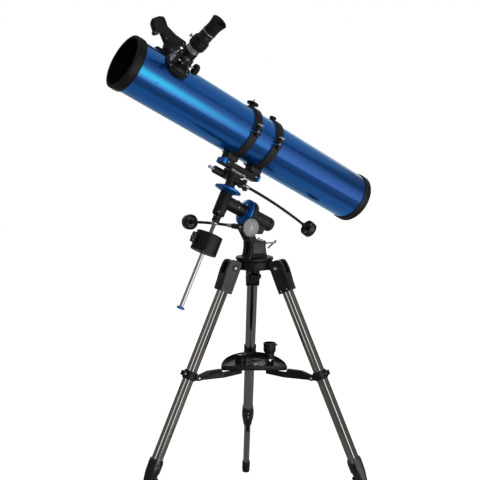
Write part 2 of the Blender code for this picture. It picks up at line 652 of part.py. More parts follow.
def build_finder(dec):
    """x points away from the tube, y across it and z to its front."""
    frame = TUBE
    finder = add("finder", block((71.5, 76), (-15, 15), (500, 560)), frame, "black_plastic", dec)
    cut(finder, rod(TUBE_RADIUS + 0.4, 500, 600, 64), TUBE)
    join(finder, block((74, 104), (-9, 9), (502, 530)), frame)
    side = frame @ axes((0, 0, 0), (0, 1, 0), (0, 0, 1))     # x forwards, y away from the tube
    body = [(486, 125), (489, 130.5), (523, 131.5), (556, 140), (566, 150), (575, 154.5), (586, 150)]
    body += [(593, 141), (593, 127), (578, 112), (570, 111), (562, 117), (552, 112), (538, 100)]
    body += [(528, 98), (510, 98), (490, 116)]
    join(finder, prism(body, -12.5, 12.5), side)
    window = turned(moved(frame, x=137, z=584), radians(-12), "Y")
    cut(finder, rod(8.5, -7, 40, 24), window)


def build():
    clear_scene()
    root = empty("telescope", Matrix.Identity(4))
    build_tripod(root)
    azimuth = build_base(root)
    latitude = build_polar_housing(azimuth)
    dec = build_declination(latitude)
    build_saddle(dec)
    focuser = build_tube(dec)
    build_focuser(dec, focuser)
    build_finder(dec)


build()
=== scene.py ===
"""Newtonian reflector telescope: the looks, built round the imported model.

Shapes are in millimetres, each in the local frame of the axis it sits on. The
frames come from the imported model's joints, so every piece lies where its body is.
"""

import json
from math import cos, degrees, hypot, pi, radians, sin

import bmesh
import bpy
from mathutils import Matrix, Vector

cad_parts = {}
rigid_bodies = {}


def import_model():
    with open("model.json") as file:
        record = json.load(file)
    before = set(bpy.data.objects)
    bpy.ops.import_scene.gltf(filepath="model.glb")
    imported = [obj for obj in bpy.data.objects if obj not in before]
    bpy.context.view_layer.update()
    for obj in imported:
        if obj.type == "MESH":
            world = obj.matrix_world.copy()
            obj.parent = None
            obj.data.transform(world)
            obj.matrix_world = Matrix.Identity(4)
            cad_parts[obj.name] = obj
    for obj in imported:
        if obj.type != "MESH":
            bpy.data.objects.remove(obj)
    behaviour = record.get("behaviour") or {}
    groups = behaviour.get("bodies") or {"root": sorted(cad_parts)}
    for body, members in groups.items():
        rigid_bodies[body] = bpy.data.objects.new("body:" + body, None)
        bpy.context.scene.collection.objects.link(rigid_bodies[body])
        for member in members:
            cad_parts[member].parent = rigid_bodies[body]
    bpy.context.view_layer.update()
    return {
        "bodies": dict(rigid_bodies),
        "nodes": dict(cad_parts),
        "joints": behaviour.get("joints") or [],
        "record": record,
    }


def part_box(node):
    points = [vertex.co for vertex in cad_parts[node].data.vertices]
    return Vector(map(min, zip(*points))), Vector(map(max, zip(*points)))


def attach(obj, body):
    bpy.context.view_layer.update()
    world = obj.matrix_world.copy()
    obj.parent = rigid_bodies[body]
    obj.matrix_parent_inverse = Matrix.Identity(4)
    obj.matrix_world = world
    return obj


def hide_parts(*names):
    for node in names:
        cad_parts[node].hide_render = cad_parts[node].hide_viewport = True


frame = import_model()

MM = 0.001

# Places and sizes, in millimetres
DEC_ON_POLAR = 196.8           # the declination axis, along the polar axis
POLAR_ON_DEC = 170.0           # the polar axis, along the declination axis
TUBE_ON_DEC = 365.6            # the tube's axis, along the declination axis
LEG_PIVOT = -54.0              # the leg's hinge, along the leg
COLLAR = 265.9                 # the spreader's collar, along the leg
TUBE_RADIUS = 70.6
TUBE_BORE = 69.8
TUBE_FRONT = 625.2             # the tube's ends, along it from the declination axis
TUBE_REAR = -232.0
RINGS = (226.0, 147.0)         # the middles of the tube rings, along the tube
RING_WIDTH = 22.0
RING_HINGE = 92.3              # the rings' hinge pins, from the tube's axis
FOCUSER_ROLL = radians(49)     # how far the focuser is turned round the tube
FOCUSER = 506.0                # the focuser's axis, along the tube
CIRCLE_RADIUS = 38.0           # of both setting circles
SIDES = 64                     # of a turned piece
PIVOT_X = -32.0                # the latitude pivot, in the UPRIGHT frame
PIVOT_Z = 162.0
LEG_HINGE = (75.24, 49.06)     # a leg's hinge from the tripod's axis, and its height
BARLOW = (-4.0, -46.0)         # places on the tray
SPARE_EYEPIECE = (24.0, 36.0)
HOOD_LEAN = radians(-14)       # of the finder's hood, from the tube's direction
CABLE_RADIUS = 4.35
CABLE_STEPS = 26               # from one point of a cable's route to the next
HERE = Matrix.Identity(4)      # no move, or the whole part's frame

# Routes of the two flexible shafts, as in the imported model
RA_CABLE = [(-57.4, 52.3, 163.8), (-57.4, 70, 163.8), (-57, 110, 163.2), (-56, 170, 161.5),
            (-55, 225, 158.8), (-54, 262, 156.5)]
DEC_CABLE = [(117.5, 243), (100, 243), (71, 242.4), (22, 240), (-28, 235.8), (-80, 230),
             (-122, 224)]

JOINTS = {joint["name"]: joint for joint in frame["record"]["behaviour"]["joints"]}


# ---------------------------------------------------------------- frames

def axes(origin, z_axis, x_axis):
    """A frame with its origin in metres, from its z axis and a rough x axis."""
    z = Vector(z_axis).normalized()
    y = z.cross(Vector(x_axis)).normalized()
    x = y.cross(z)
    made = Matrix((x, y, z)).transposed().to_4x4()
    made.translation = Vector(origin)
    return made


def moved(place, x=0.0, y=0.0, z=0.0):
    return place @ Matrix.Translation((x * MM, y * MM, z * MM))


def turned(place, angle, axis):
    return place @ Matrix.Rotation(angle, 4, axis)


def turn_to(z_axis, x_axis):
    """A turn of the frame it is applied to, that makes these its z and x axes."""
    return axes((0, 0, 0), z_axis, x_axis)


# Turns that lay a frame's z axis along one of the axes it is applied to
ALONG_X = turn_to((1, 0, 0), (0, 1, 0))
ACROSS_X = turn_to((1, 0, 0), (0, 0, 1))
BACK_X = turn_to((-1, 0, 0), (0, 1, 0))
ALONG_Y = turn_to((0, 1, 0), (1, 0, 0))
STOOD_UP = turn_to((0, -1, 0), (1, 0, 0))              # y up
UPSIDE_DOWN = turn_to((0, 0, -1), (1, 0, 0))


def joint_axis(name):
    return Vector(JOINTS[name]["axis"])


def joint_place(name):
    return Vector(JOINTS[name]["pos_m"])


POLAR = joint_axis("ra_turn")
DECLINATION = joint_axis("dec_turn")
BASE = axes(joint_place("azimuth_turn"), (0, 0, 1), (1, 0, 0))
UPRIGHT = BASE @ STOOD_UP        # x forwards, y up, z to -Y
RA = axes(joint_place("ra_turn"), POLAR, DECLINATION)
DEC = axes(joint_place("dec_turn"), DECLINATION, -POLAR)
TUBE = moved(RA, x=TUBE_ON_DEC - POLAR_ON_DEC)         # x away from the mount, z to the front
FOCUS = turned(moved(TUBE, z=FOCUSER), -FOCUSER_ROLL, "Z") @ ACROSS_X
PINION = moved(FOCUS, y=22.4, z=103) @ ALONG_X


def leg_frame(number):
    """z down the leg and x outwards, from the leg's zero point."""
    down = Vector(JOINTS[f"leg_length_{number}"]["axis"])
    across = joint_axis(f"leg_fold_{number}").cross(down)
    return moved(axes(joint_place(f"leg_fold_{number}"), down, across), z=-LEG_PIVOT)


def spot(polar, declination, side=0.0):
    """A point in metres, from millimetres along the mount's directions."""
    return (BASE.translation + POLAR * (polar * MM) + DECLINATION * (declination * MM)
            + Vector((0, side * MM, 0)))


HUB = turned(BASE, radians(-1.4), "Z")
WORM = moved(BASE, x=-57.4, z=163.8) @ ALONG_Y
DEC_WORM = axes(spot(DEC_ON_POLAR, 243, 30), -POLAR, DECLINATION)


def hub_side(number):
    """x outwards over a leg, y up, from the tripod's axis."""
    return turned(HUB, radians((180, 60, 300)[number - 1]), "Z") @ STOOD_UP


# ---------------------------------------------------------------- shapes

def lathe(profile, sides=SIDES, flutes=0, depth=0.0, fluted=()):
    """Turns an outline of (radius, height) points about z.

    The points whose places are in fluted are cut in by depth between flutes.
    """
    shape = bmesh.new()
    rings = []
    for place, (radius, height) in enumerate(profile):
        if radius == 0:
            rings.append([shape.verts.new((0, 0, height))] * sides)
            continue
        ring = []
        for i in range(sides):
            a = 2 * pi * i / sides
            r = radius
            if place in fluted:
                r -= depth * (0.5 - 0.5 * cos(a * flutes)) ** 2
            ring.append(shape.verts.new((r * cos(a), r * sin(a), height)))
        rings.append(ring)
    pairs = list(zip(rings, rings[1:]))
    if profile[0][0] > 0 and profile[-1][0] > 0:
        pairs.append((rings[-1], rings[0]))
    for low, high in pairs:
        for i in range(sides):
            j = (i + 1) % sides
            corners = []
            for vertex in (low[i], low[j], high[j], high[i]):
                if vertex not in corners:
                    corners.append(vertex)
            if len(corners) > 2:
                shape.faces.new(corners)
    return shape


def raised(outline, height):
    return [(x, y + height) for x, y in outline]


def rod(radius, low, high, sides=SIDES, edge=0.0):
    """A solid round bar, with its edges rounded off by a small chamfer."""
    if not edge:
        return lathe([(0, low), (radius, low), (radius, high), (0, high)], sides)
    return lathe([(0, low), (radius - edge, low), (radius, low + edge), (radius, high - edge),
                  (radius - edge, high), (0, high)], sides)


def pipe(outer, inner, low, high, sides=SIDES, edge=0.0):
    outline = [(inner, low), (outer - edge, low)]
    if edge:
        outline += [(outer, low + edge), (outer, high - edge)]
    outline += [(outer - edge, high), (inner, high)]
    return lathe(outline, sides)


def prism(outline, low, high):
    shape = bmesh.new()
    bottom = [shape.verts.new((x, y, low)) for x, y in outline]
    top = [shape.verts.new((x, y, high)) for x, y in outline]
    shape.faces.new(bottom)
    shape.faces.new(top)
    for i in range(len(outline)):
        j = (i + 1) % len(outline)
        shape.faces.new((bottom[i], bottom[j], top[j], top[i]))
    return shape


def block(x, y, z):
    return prism([(x[0], y[0]), (x[1], y[0]), (x[1], y[1]), (x[0], y[1])], z[0], z[1])


def arc(centre, radius, start, end, steps):
    points = []
    for i in range(steps + 1):
        a = radians(start + (end - start) * i / steps)
        points.append((centre[0] + radius * cos(a), centre[1] + radius * sin(a)))
    return points


def ellipse_arc(x, length, width, start, end, steps):
    points = []
    for i in range(steps + 1):
        a = radians(start + (end - start) * i / steps)
        points.append((x + length * cos(a), width * sin(a)))
    return points


def rounded(width, height, radius, steps=5, centre=(0, 0)):
    """The outline of a rectangle with round corners."""
    points = []
    for k, (sx, sy) in enumerate(((1, 1), (-1, 1), (-1, -1), (1, -1))):
        middle = (centre[0] + sx * (width / 2 - radius), centre[1] + sy * (height / 2 - radius))
        points += arc(middle, radius, 90 * k, 90 * k + 90, steps)
    return points


def dome(radius, low, height, sides=24):
    """A flat disc with a rounded top, such as a screw's head."""
    outline = [(0, low), (radius, low)]
    for i in range(1, 6):
        a = pi / 2 * i / 5
        outline.append((radius * cos(a) if i < 5 else 0, low + height * sin(a)))
    return lathe(outline, sides)


def hexagon(width, low, high):
    """A six-sided nut or head, by its width across flats."""
    radius = width / 2 / cos(pi / 6)
    return lathe([(0, low), (radius - 0.4, low), (radius, low + 0.5), (radius, high - 0.7),
                  (radius - 0.7, high), (0, high)], 6)


def in_metres(place):
    """A copy of the frame that also scales millimetres to metres."""
    return place @ Matrix.Scale(MM, 4)


def carve(target, shape, place, operation="DIFFERENCE"):
    """Cuts a shape from an object, or joins it on, and keeps the result as its mesh."""
    bmesh.ops.recalc_face_normals(shape, faces=shape.faces)
    mesh = bpy.data.meshes.new("tool")
    bmesh.ops.transform(shape, matrix=in_metres(place), verts=shape.verts)
    shape.to_mesh(mesh)
    shape.free()
    tool = bpy.data.objects.new("tool", mesh)
    bpy.context.scene.collection.objects.link(tool)
    change = target.modifiers.new("boolean", "BOOLEAN")
    change.operation = operation
    change.object = tool
    change.solver = "EXACT"
    keep_result(target)
    bpy.data.objects.remove(tool)


def join(target, shape, place):
    carve(target, shape, place, "UNION")


def both_sides(change, target, kind, outline, low, high, place, *more):
    """Cuts or joins the same shape on both sides of the frame's z = 0."""
    for ends in ((low, high), (-high, -low)):
        change(target, kind(outline, *ends, *more), place)


def keep_result(target):
    """Replaces an object's mesh by what its modifiers make of it."""
    bpy.context.view_layer.update()
    graph = bpy.context.evaluated_depsgraph_get()
    mesh = bpy.data.meshes.new_from_object(target.evaluated_get(graph))
    target.modifiers.clear()
    target.data = mesh


def start(name, shape, place):
    """An object of a shape in millimetres, in a local frame."""
    bmesh.ops.remove_doubles(shape, verts=shape.verts, dist=1e-5)
    bmesh.ops.recalc_face_normals(shape, faces=shape.faces)
    bmesh.ops.scale(shape, vec=(MM, MM, MM), verts=shape.verts)
    mesh = bpy.data.meshes.new(name)
    shape.to_mesh(mesh)
    shape.free()
    made = bpy.data.objects.new(name, mesh)
    bpy.context.scene.collection.objects.link(made)
    made.matrix_world = place
    return made


def done(made, material, body, bevel=0.0, segments=2, angle=32, node=None):
    """Rounds the edges, gives the material and puts the piece on its body."""
    if bevel:
        edge = made.modifiers.new("bevel", "BEVEL")
        edge.width = bevel * MM
        edge.segments = segments
        edge.limit_method = "ANGLE"
        edge.angle_limit = radians(angle)
        edge.miter_outer = "MITER_ARC"
        keep_result(made)
    for face in made.data.polygons:
        face.use_smooth = True
    made.data.set_sharp_from_angle(angle=radians(angle))
    made.data.materials.clear()
    made.data.materials.append(material)
    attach(made, body)
    if node:
        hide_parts(node)
    return made


def piece(name, shape, place, material, body, **more):
    return done(start(name, shape, place), material, body, **more)


def turning(name, outline, place, material, body, sides=SIDES, fluting=(0, 0.0), **more):
    """A turned piece. Its fluting is a number of flutes, their depth and the points cut in."""
    flutes, depth, *fluted = fluting
    return piece(name, lathe(outline, sides, flutes, depth, fluted), place, material, body, **more)


def merged(shapes):
    """Several shapes, each with its own local frame, as one."""
    whole = bmesh.new()
    for shape, place in shapes:
        bmesh.ops.recalc_face_normals(shape, faces=shape.faces)
        mesh = bpy.data.meshes.new("part")
        shape.to_mesh(mesh)
        shape.free()
        matrix = place.copy()
        matrix.translation = matrix.translation / MM
        mesh.transform(matrix)
        whole.from_mesh(mesh)
        bpy.data.meshes.remove(mesh)
    return whole


def sweep(points, radius, sides=20, wave=0.0, pitch=4.0):
    """A round bar along points in millimetres, with a spiral rib round it."""
    shape = bmesh.new()
    rings = []
    run = 0.0
    for i, point in enumerate(points):
        ahead = points[min(i + 1, len(points) - 1)]
        behind = points[max(i - 1, 0)]
        if i:
            run += (points[i] - points[i - 1]).length
        place = axes(point, ahead - behind, (0.1, 0.2, 1))
        ring = []
        for k in range(sides):
            a = 2 * pi * k / sides
            r = radius - wave * (0.5 + 0.5 * cos(a + 2 * pi * run / pitch))
            ring.append(shape.verts.new(place @ Vector((r * cos(a), r * sin(a), 0))))
        rings.append(ring)
    for low, high in zip(rings, rings[1:]):
        for k in range(sides):
            j = (k + 1) % sides
            shape.faces.new((low[k], low[j], high[j], high[k]))
    shape.faces.new(rings[0])
    shape.faces.new(rings[-1])
    return shape


def spline(points, steps):
    """A Catmull-Rom curve through the points."""
    rows = [Vector(p) for p in points]
    rows = [rows[0] * 2 - rows[1]] + rows + [rows[-1] * 2 - rows[-2]]
    made = []
    for a, b, c, d in zip(rows, rows[1:], rows[2:], rows[3:]):
        for i in range(steps):
            t = i / steps
            made.append(0.5 * (2 * b + (c - a) * t + (2 * a - 5 * b + 4 * c - d) * t * t
                               + (3 * b - a - 3 * c + d) * t ** 3))
    made.append(rows[-2])
    return made


# ---------------------------------------------------------------- materials

def set_stops(ramp, stops):
    """Gives a colour ramp its (place, colour) stops."""
    elements = ramp.color_ramp.elements
    while len(elements) < len(stops):
        elements.new(0.5)
    for element, (place, colour) in zip(elements, stops):
        element.position = place
        element.color = (*colour, 1)


class Look:
    """A material built up from nodes, with noise in its colour, roughness and relief.

    tint is two colour stops, shine the least and the most roughness, and relief a
    strength and a depth in millimetres. What the noise takes follows each of them.
    """

    def __init__(self, name, colour, roughness, metallic=0.0, coat=0.0, tint=None, shine=None,
                 relief=None, specular=0.5, coat_roughness=0.04):
        self.material = bpy.data.materials.new(name)
        self.material.use_nodes = True
        self.nodes = self.material.node_tree.nodes
        self.links = self.material.node_tree.links
        self.shader = self.nodes["Principled BSDF"]
        self.place = self.nodes.new("ShaderNodeTexCoord")
        values = {"Base Color": (*colour, 1), "Roughness": roughness, "Metallic": metallic,
                  "Coat Weight": coat, "Coat Roughness": coat_roughness,
                  "Specular IOR Level": specular}
        for socket, value in values.items():
            self.shader.inputs[socket].default_value = value
        if tint:
            self.colour(self.noise(*tint[2:]), tint[:2])
        if shine:
            self.roughness(self.noise(*shine[2:]), *shine[:2])
        if relief:
            self.bump(self.noise(*relief[2:]), *relief[:2])

    def node(self, kind, **inputs):
        made = self.nodes.new(kind)
        for name, value in inputs.items():
            made.inputs[name.replace("_", " ")].default_value = value
        return made

    def mapped(self, scale):
        """Object coordinates in metres, scaled per axis."""
        mapping = self.node("ShaderNodeMapping", Scale=scale)
        self.links.new(self.place.outputs["Object"], mapping.inputs["Vector"])
        return mapping.outputs["Vector"]

    def noise(self, scale, detail=3.0, stretch=(1, 1, 1), rough=0.5):
        made = self.node("ShaderNodeTexNoise", Scale=scale, Detail=detail, Roughness=rough)
        self.links.new(self.mapped(stretch), made.inputs["Vector"])
        return made.outputs["Fac"]

    def colour(self, source, stops):
        """Colours along a source, as (place, colour) stops."""
        ramp = self.nodes.new("ShaderNodeValToRGB")
        set_stops(ramp, stops)
        self.links.new(source, ramp.inputs["Fac"])
        self.links.new(ramp.outputs["Color"], self.shader.inputs["Base Color"])

    def roughness(self, source, low, high):
        made = self.node("ShaderNodeMapRange", To_Min=low, To_Max=high)
        self.links.new(source, made.inputs["Value"])
        self.links.new(made.outputs["Result"], self.shader.inputs["Roughness"])

    def bump(self, source, strength, depth):
        made = self.node("ShaderNodeBump", Strength=strength, Distance=depth * MM)
        self.links.new(source, made.inputs["Height"])
        self.links.new(made.outputs["Normal"], self.shader.inputs["Normal"])


def plain(*values, **more):
    """The material of a look that takes nothing else."""
    return Look(*values, **more).material


def lacquer():
    """Metallic blue under a clear gloss coat, with fine flakes."""
    look = Look("blue_lacquer", (0.01, 0.1, 0.42), 0.3, 0.8, 0.65, shine=(0.2, 0.28, 9.0, 2.0),
                relief=(0.05, 0.3, 28.0, 2.0), coat_roughness=0.02)
    flakes = look.node("ShaderNodeTexVoronoi", Scale=1700.0)
    look.links.new(look.mapped(EVENLY), flakes.inputs["Vector"])
    look.colour(flakes.outputs["Color"], [(0.0, (0.002, 0.075, 0.36)), (1.0, (0.005, 0.105, 0.47))])
    return look.material


def powder_coat():
    """Satin black on a casting, lighter in patches along its sharp edges."""
    look = Look("satin_black", (0.012, 0.012, 0.013), 0.42, shine=(0.34, 0.5, 55.0, 4.0),
                relief=(0.22, 0.08, 900.0, 2.0), specular=0.38)
    geometry = look.nodes.new("ShaderNodeNewGeometry")
    mask = look.node("ShaderNodeMapRange", From_Min=0.53, From_Max=0.60)
    look.links.new(geometry.outputs["Pointiness"], mask.inputs["Value"])
    both = look.nodes.new("ShaderNodeMath")
    both.operation = "MULTIPLY"
    look.links.new(mask.outputs["Result"], both.inputs[0])
    look.links.new(look.noise(180.0, 4.0), both.inputs[1])
    away_from_edges = (0.009, 0.009, 0.0105)
    look.colour(both.outputs["Value"], [(0.0, away_from_edges), (0.3, away_from_edges), (0.78, (0.06, 0.06, 0.063))])
    return look.material


def turned_metal(look, scale, distortion, detail, stops, strength, depth):
    """Gives a look the circular lines that turning leaves."""
    rings = look.node("ShaderNodeTexWave", Scale=scale, Distortion=distortion, Detail=detail)
    rings.wave_type = "RINGS"
    rings.rings_direction = "Z"
    look.links.new(look.mapped(EVENLY), rings.inputs["Vector"])
    look.colour(rings.outputs["Fac"], stops)
    look.bump(rings.outputs["Fac"], strength, depth)
    return look.material


def steel(name, low, high):
    return plain(name, (0.78, 0.78, 0.79), low, 1.0, shine=(low, high, 90.0, 5.0),
                 tint=((0.2, (0.72, 0.72, 0.73)), (0.8, (0.84, 0.84, 0.85)), 150.0),
                 relief=(0.03, 0.02, 500.0, 2.0))


def lens(name, colour):
    """Coated glass, seen as a dark gloss with a tint."""
    lighter = tuple(min(1.0, c * 1.7 + 0.01) for c in colour)
    return plain(name, colour, 0.05, 0.0, 1.0, tint=((0.3, colour), (0.75, lighter), 120.0, 2.0),
                 shine=(0.03, 0.08, 60.0, 2.0), coat_roughness=0.01)


EVENLY = (1, 1, 1)
# Noise stretched along an axis: scale, detail, stretch and roughness
DRAWN = (1.0, 4.0, (620, 620, 5), 0.65)                # streaks down a drawn tube
PAINTED = (1.0, 4.0, (90, 90, 4))                      # faint streaks down the tube's inside
TURNED = (1.0, 3.0, (4, 4, 900))                       # turning lines round the weight
FIBRES = (700.0, 6.0, EVENLY, 0.75)

LACQUER = lacquer()
SATIN = powder_coat()
ANODISED = turned_metal(
    Look("blue_anodised", (0.015, 0.22, 0.78), 0.28, 0.7, shine=(0.2, 0.36, 120.0)),
    260.0, 0.6, 2.0, [(0.0, (0.01, 0.19, 0.76)), (1.0, (0.03, 0.3, 0.92))], 0.12, 0.05)
SPUN = turned_metal(
    Look("spun_aluminium", (0.66, 0.66, 0.68), 0.36, 0.9, shine=(0.3, 0.44, 200.0)),
    420.0, 1.2, 3.0, [(0.0, (0.3, 0.3, 0.31)), (1.0, (0.44, 0.44, 0.45))], 0.15, 0.03)
MOULDED = plain("moulded_black", (0.012, 0.012, 0.013), 0.4, shine=(0.3, 0.44, 70.0), specular=0.38,
                tint=((0.25, (0.008, 0.008, 0.0092)), (0.8, (0.016, 0.016, 0.0178)), 45.0, 5.0),
                relief=(0.2, 0.05, 1500.0, 2.0, EVENLY, 0.7))
GLOSS = plain("gloss_black", (0.014, 0.014, 0.015), 0.2, 0.0, 0.5, shine=(0.16, 0.3, 90.0),
              tint=((0.3, (0.011, 0.011, 0.012)), (0.8, (0.02, 0.02, 0.022)), 60.0),
              relief=(0.08, 0.05, 600.0, 2.0))
RUBBER = plain("rubber", (0.016, 0.016, 0.016), 0.75, shine=(0.62, 0.85, 40.0, 4.0),
               tint=((0.3, (0.012, 0.012, 0.012)), (0.75, (0.03, 0.029, 0.028)), 80.0, 6.0),
               relief=(0.3, 0.08, 1100.0))
LEG_STEEL = plain("leg_steel", (0.6, 0.585, 0.56), 0.2, 1.0, shine=(0.07, 0.15, *DRAWN),
                  tint=((0.25, (0.42, 0.4, 0.37)), (0.75, (0.62, 0.59, 0.55)), *DRAWN),
                  relief=(0.03, 0.02, *DRAWN))
CHROME = steel("chrome", 0.05, 0.14)
SCREW = steel("screw_steel", 0.24, 0.38)
BEAD_BLASTED = steel("bead_blasted_steel", 0.45, 0.62)
WHITE_INK = plain("scale_ink", (0.7, 0.72, 0.75), 0.6, relief=(0.15, 0.03, 900.0, 2.0),
                  tint=((0.2, (0.58, 0.6, 0.64)), (0.8, (0.8, 0.82, 0.84)), 300.0))
DARK_INK = plain("dark_ink", (0.03, 0.03, 0.035), 0.55, relief=(0.15, 0.03, 900.0, 2.0),
                 tint=((0.2, (0.02, 0.02, 0.024)), (0.8, (0.06, 0.06, 0.065)), 300.0))
FLAT_BLACK = plain("flat_black", (0.012, 0.012, 0.013), 0.85, shine=(0.75, 0.92, 60.0),
                   tint=((0.3, (0.008, 0.008, 0.009)), (0.8, (0.02, 0.02, 0.021)), *PAINTED),
                   relief=(0.35, 0.1, 900.0), specular=0.25)
MIRROR = plain("mirror", (0.9, 0.91, 0.93), 0.02, 1.0, shine=(0.01, 0.035, 25.0),
               tint=((0.2, (0.87, 0.89, 0.92)), (0.8, (0.93, 0.93, 0.94)), 18.0, 2.0))
WEIGHT_PAINT = plain("weight_paint", (0.03, 0.03, 0.032), 0.34, 0.35, shine=(0.28, 0.42, *TURNED),
                     tint=((0.3, (0.012, 0.012, 0.0135)), (0.8, (0.024, 0.024, 0.026)), *TURNED),
                     relief=(0.15, 0.04, *TURNED))
RING_PAINT = plain("ring_paint", (0.03, 0.03, 0.028), 0.55, shine=(0.45, 0.65, 140.0),
                   tint=((0.3, (0.014, 0.014, 0.0135)), (0.75, (0.036, 0.036, 0.033)), 260.0, 5.0),
                   relief=(0.4, 0.15, 420.0))
GREY_PLASTIC = plain("grey_plastic", (0.12, 0.12, 0.125), 0.45, shine=(0.38, 0.52, 80.0),
                     tint=((0.3, (0.1, 0.1, 0.105)), (0.8, (0.15, 0.15, 0.155)), 60.0, 4.0),
                     relief=(0.15, 0.05, 1300.0, 2.0))
FELT_LOOK = Look("blue_felt", (0.012, 0.08, 0.34), 0.9, relief=(0.6, 0.25, *FIBRES),
                 tint=((0.3, (0.008, 0.06, 0.28)), (0.75, (0.02, 0.13, 0.46)), *FIBRES))
FELT_LOOK.shader.inputs["Sheen Weight"].default_value = 0.6
FELT = FELT_LOOK.material
GLASS = lens("coated_glass", (0.01, 0.02, 0.05))
RED_GLASS = lens("red_coated_glass", (0.8, 0.13, 0.025))


# ---------------------------------------------------------------- fasteners

def screw_head(name, place, body, radius=3.0, height=1.6, material=None):
    """A round head with a cross recess, standing on the frame's z = 0."""
    made = start(name, dome(radius, -0.6, height + 0.6), place)
    for turn in (0, 90):
        slot = block((-radius * 0.55, radius * 0.55), (-0.35, 0.35), (height * 0.45, height + 2))
        carve(made, slot, turned(place, radians(turn), "Z"))
    return done(made, material or SCREW, body)


def nut(name, place, body, width=10.0, height=5.0):
    """A hexagonal nut with the round end of its bolt standing out of it."""
    shapes = [(hexagon(width, -0.5, height), HERE),
              (dome(width * 0.28, height - 0.5, 2.2, 20), HERE)]
    return piece(name, merged(shapes), place, SCREW, body)


def thumb_screw(name, place, body, radius=5.0, length=9.0, head=6.0):
    """A knurled head on a stem along z."""
    profile = [(0, 0), (1.9, 0), (1.9, length), (radius - 0.6, length), (radius, length + 0.8),
               (radius, length + head - 0.8), (radius - 0.7, length + head),
               (radius * 0.5, length + head), (radius * 0.4, length + head - 0.8),
               (0, length + head - 0.8)]
    shape = lathe(profile, 96, flutes=24, depth=0.5, fluted=(4, 5))
    return piece(name, shape, place, SCREW, body)


# ---------------------------------------------------------------- tripod

def build_hub():
    rim = [(0, 40), (44, 40), (50.5, 42.5), (52, 46), (52, 63), (50, 66), (48, 67), (0, 67)]
    hub = start("tripod_head", lathe(rim, 96), HUB)
    for number in (1, 2, 3):
        place = hub_side(number)
        outline = [(34, 41.5), (68, 40.5)] + arc(LEG_HINGE, 9.5, -90, 60, 10)
        outline += [(66, 62), (34, 62)]
        join(hub, prism(outline, -10, 10), place)
        recess = [(52, 46), (66, 46), (66, 55), (52, 57)]
        both_sides(carve, hub, prism, recess, 7.5, 12, place)
        carve(hub, rod(4.4, -20, 20, 32), moved(place, *LEG_HINGE))
    carve(hub, rod(5.3, 30, 80, 32), HUB)
    carve(hub, pipe(46, 34, 36, 42.5, 96), HUB)
    done(hub, SATIN, "hub", bevel=0.9, node="tripod_hub")

    outline = [(0, 9.5), (7, 9.5), (8, 10.5), (18, 12.5), (20, 16), (20, 22), (18.5, 25), (10.5, 28),
               (9, 29.5), (9, 39), (5, 39), (5, 73), (0, 73)]
    turning("azimuth_hand_knob", outline, HUB, MOULDED, "azimuth_bolt", 120, (12, 2.4, 3, 4, 5, 6),
            node="azimuth_knob")


def build_leg(number):
    leg = leg_frame(number)
    side = leg @ ALONG_Y             # x outwards, y up the leg
    body = f"leg_{number}"
    build_bracket(number, leg, side, body)

    tube = [(14.6, -26), (15.6, -26), (15.875, -25.7), (15.875, 547.7), (15.6, 548), (14.6, 548)]
    turning(f"outer_leg_{number}", tube, leg, LEG_STEEL, body, 72, node=f"leg_tube_{number}")
    build_collar(number, leg, side, body)
    build_clamp(number, leg, side, body)

    inner = [(9, 400), (14.2, 400), (14.3, 400.4), (14.3, 411.6), (14, 412), (10.5, 412),
             (10.5, 789.6), (10.2, 790), (9, 790)]
    lower = f"lower_leg_{number}"
    turning(f"inner_leg_{number}", inner, leg, LEG_STEEL, lower, node=f"leg_inner_{number}")
    foot = [(10.7, 755), (12.4, 755), (13, 755.8), (13.2, 758)]
    for ring in range(5):
        z = 761 + ring * 6
        foot += [(13.3, z), (12.5, z + 1), (12.5, z + 2.2), (13.2, z + 3.2)]
    foot += [(12.8, 795), (12, 801), (11, 806), (0, 806), (0, 790.4), (10.7, 790.4)]
    pad = start(f"rubber_foot_{number}", lathe(foot, 64), leg)
    carve(pad, block((-600, 600), (-600, 600), (-80, 0)), HERE)
    done(pad, RUBBER, lower, node=f"leg_foot_{number}")


def build_bracket(number, leg, side, body):
    """The moulded shoulder that holds the leg's upper end, with a flared back."""
    outline = [(-17, -18), (17, -18), (18.6, -16), (20, 5), (24, 40), (23.5, 56)]
    outline += arc((10, 62), 12.6, 10, 90, 6) + [(-2, 75.6)] + arc((-6, 66), 9.6, 95, 150, 4)
    outline += [(-17, 56), (-18.5, 0), (-18.6, -16)]
    bracket = start(f"leg_shoulder_{number}", prism(outline, -20, 20), side)
    carve(bracket, block((-40, 40), (30, 90), (-10.4, 10.4)), side)
    carve(bracket, rod(16.1, -27, 60, 72), leg)
    panel = [(-12, -6)] + [(13, -6), (15, 12), (18.4, 40)] + arc((10, 54), 9, 20, 110, 5)
    panel += [(2, 60), (-8, 46), (-11, 20)]
    both_sides(carve, bracket, prism, panel, 18.4, 24, side)
    hinge = moved(side, y=54)
    both_sides(join, bracket, rod, 8.6, 12, 21.5, hinge, 40, 1.2)
    done(bracket, GLOSS, body, bevel=2.0, segments=3, node=f"leg_bracket_{number}")
    nut(f"hinge_nut_{number}", moved(hinge, z=21.3), body, 9.5, 4.2)
    head = moved(turned(hinge, pi, "X"), z=21.3)
    piece(f"hinge_head_{number}", dome(6, -0.5, 3.6), head, SCREW, body)
    piece(f"hinge_bolt_{number}", rod(3.8, -21, 21, 32, 0.3), hinge, SCREW, body)
    for x, y in ((-10, -11), (9, -11)):
        screw_head(f"shoulder_screw_{number}_{x > 0:d}", moved(side, x, y, 19.8), body, 2.6, 1.4)


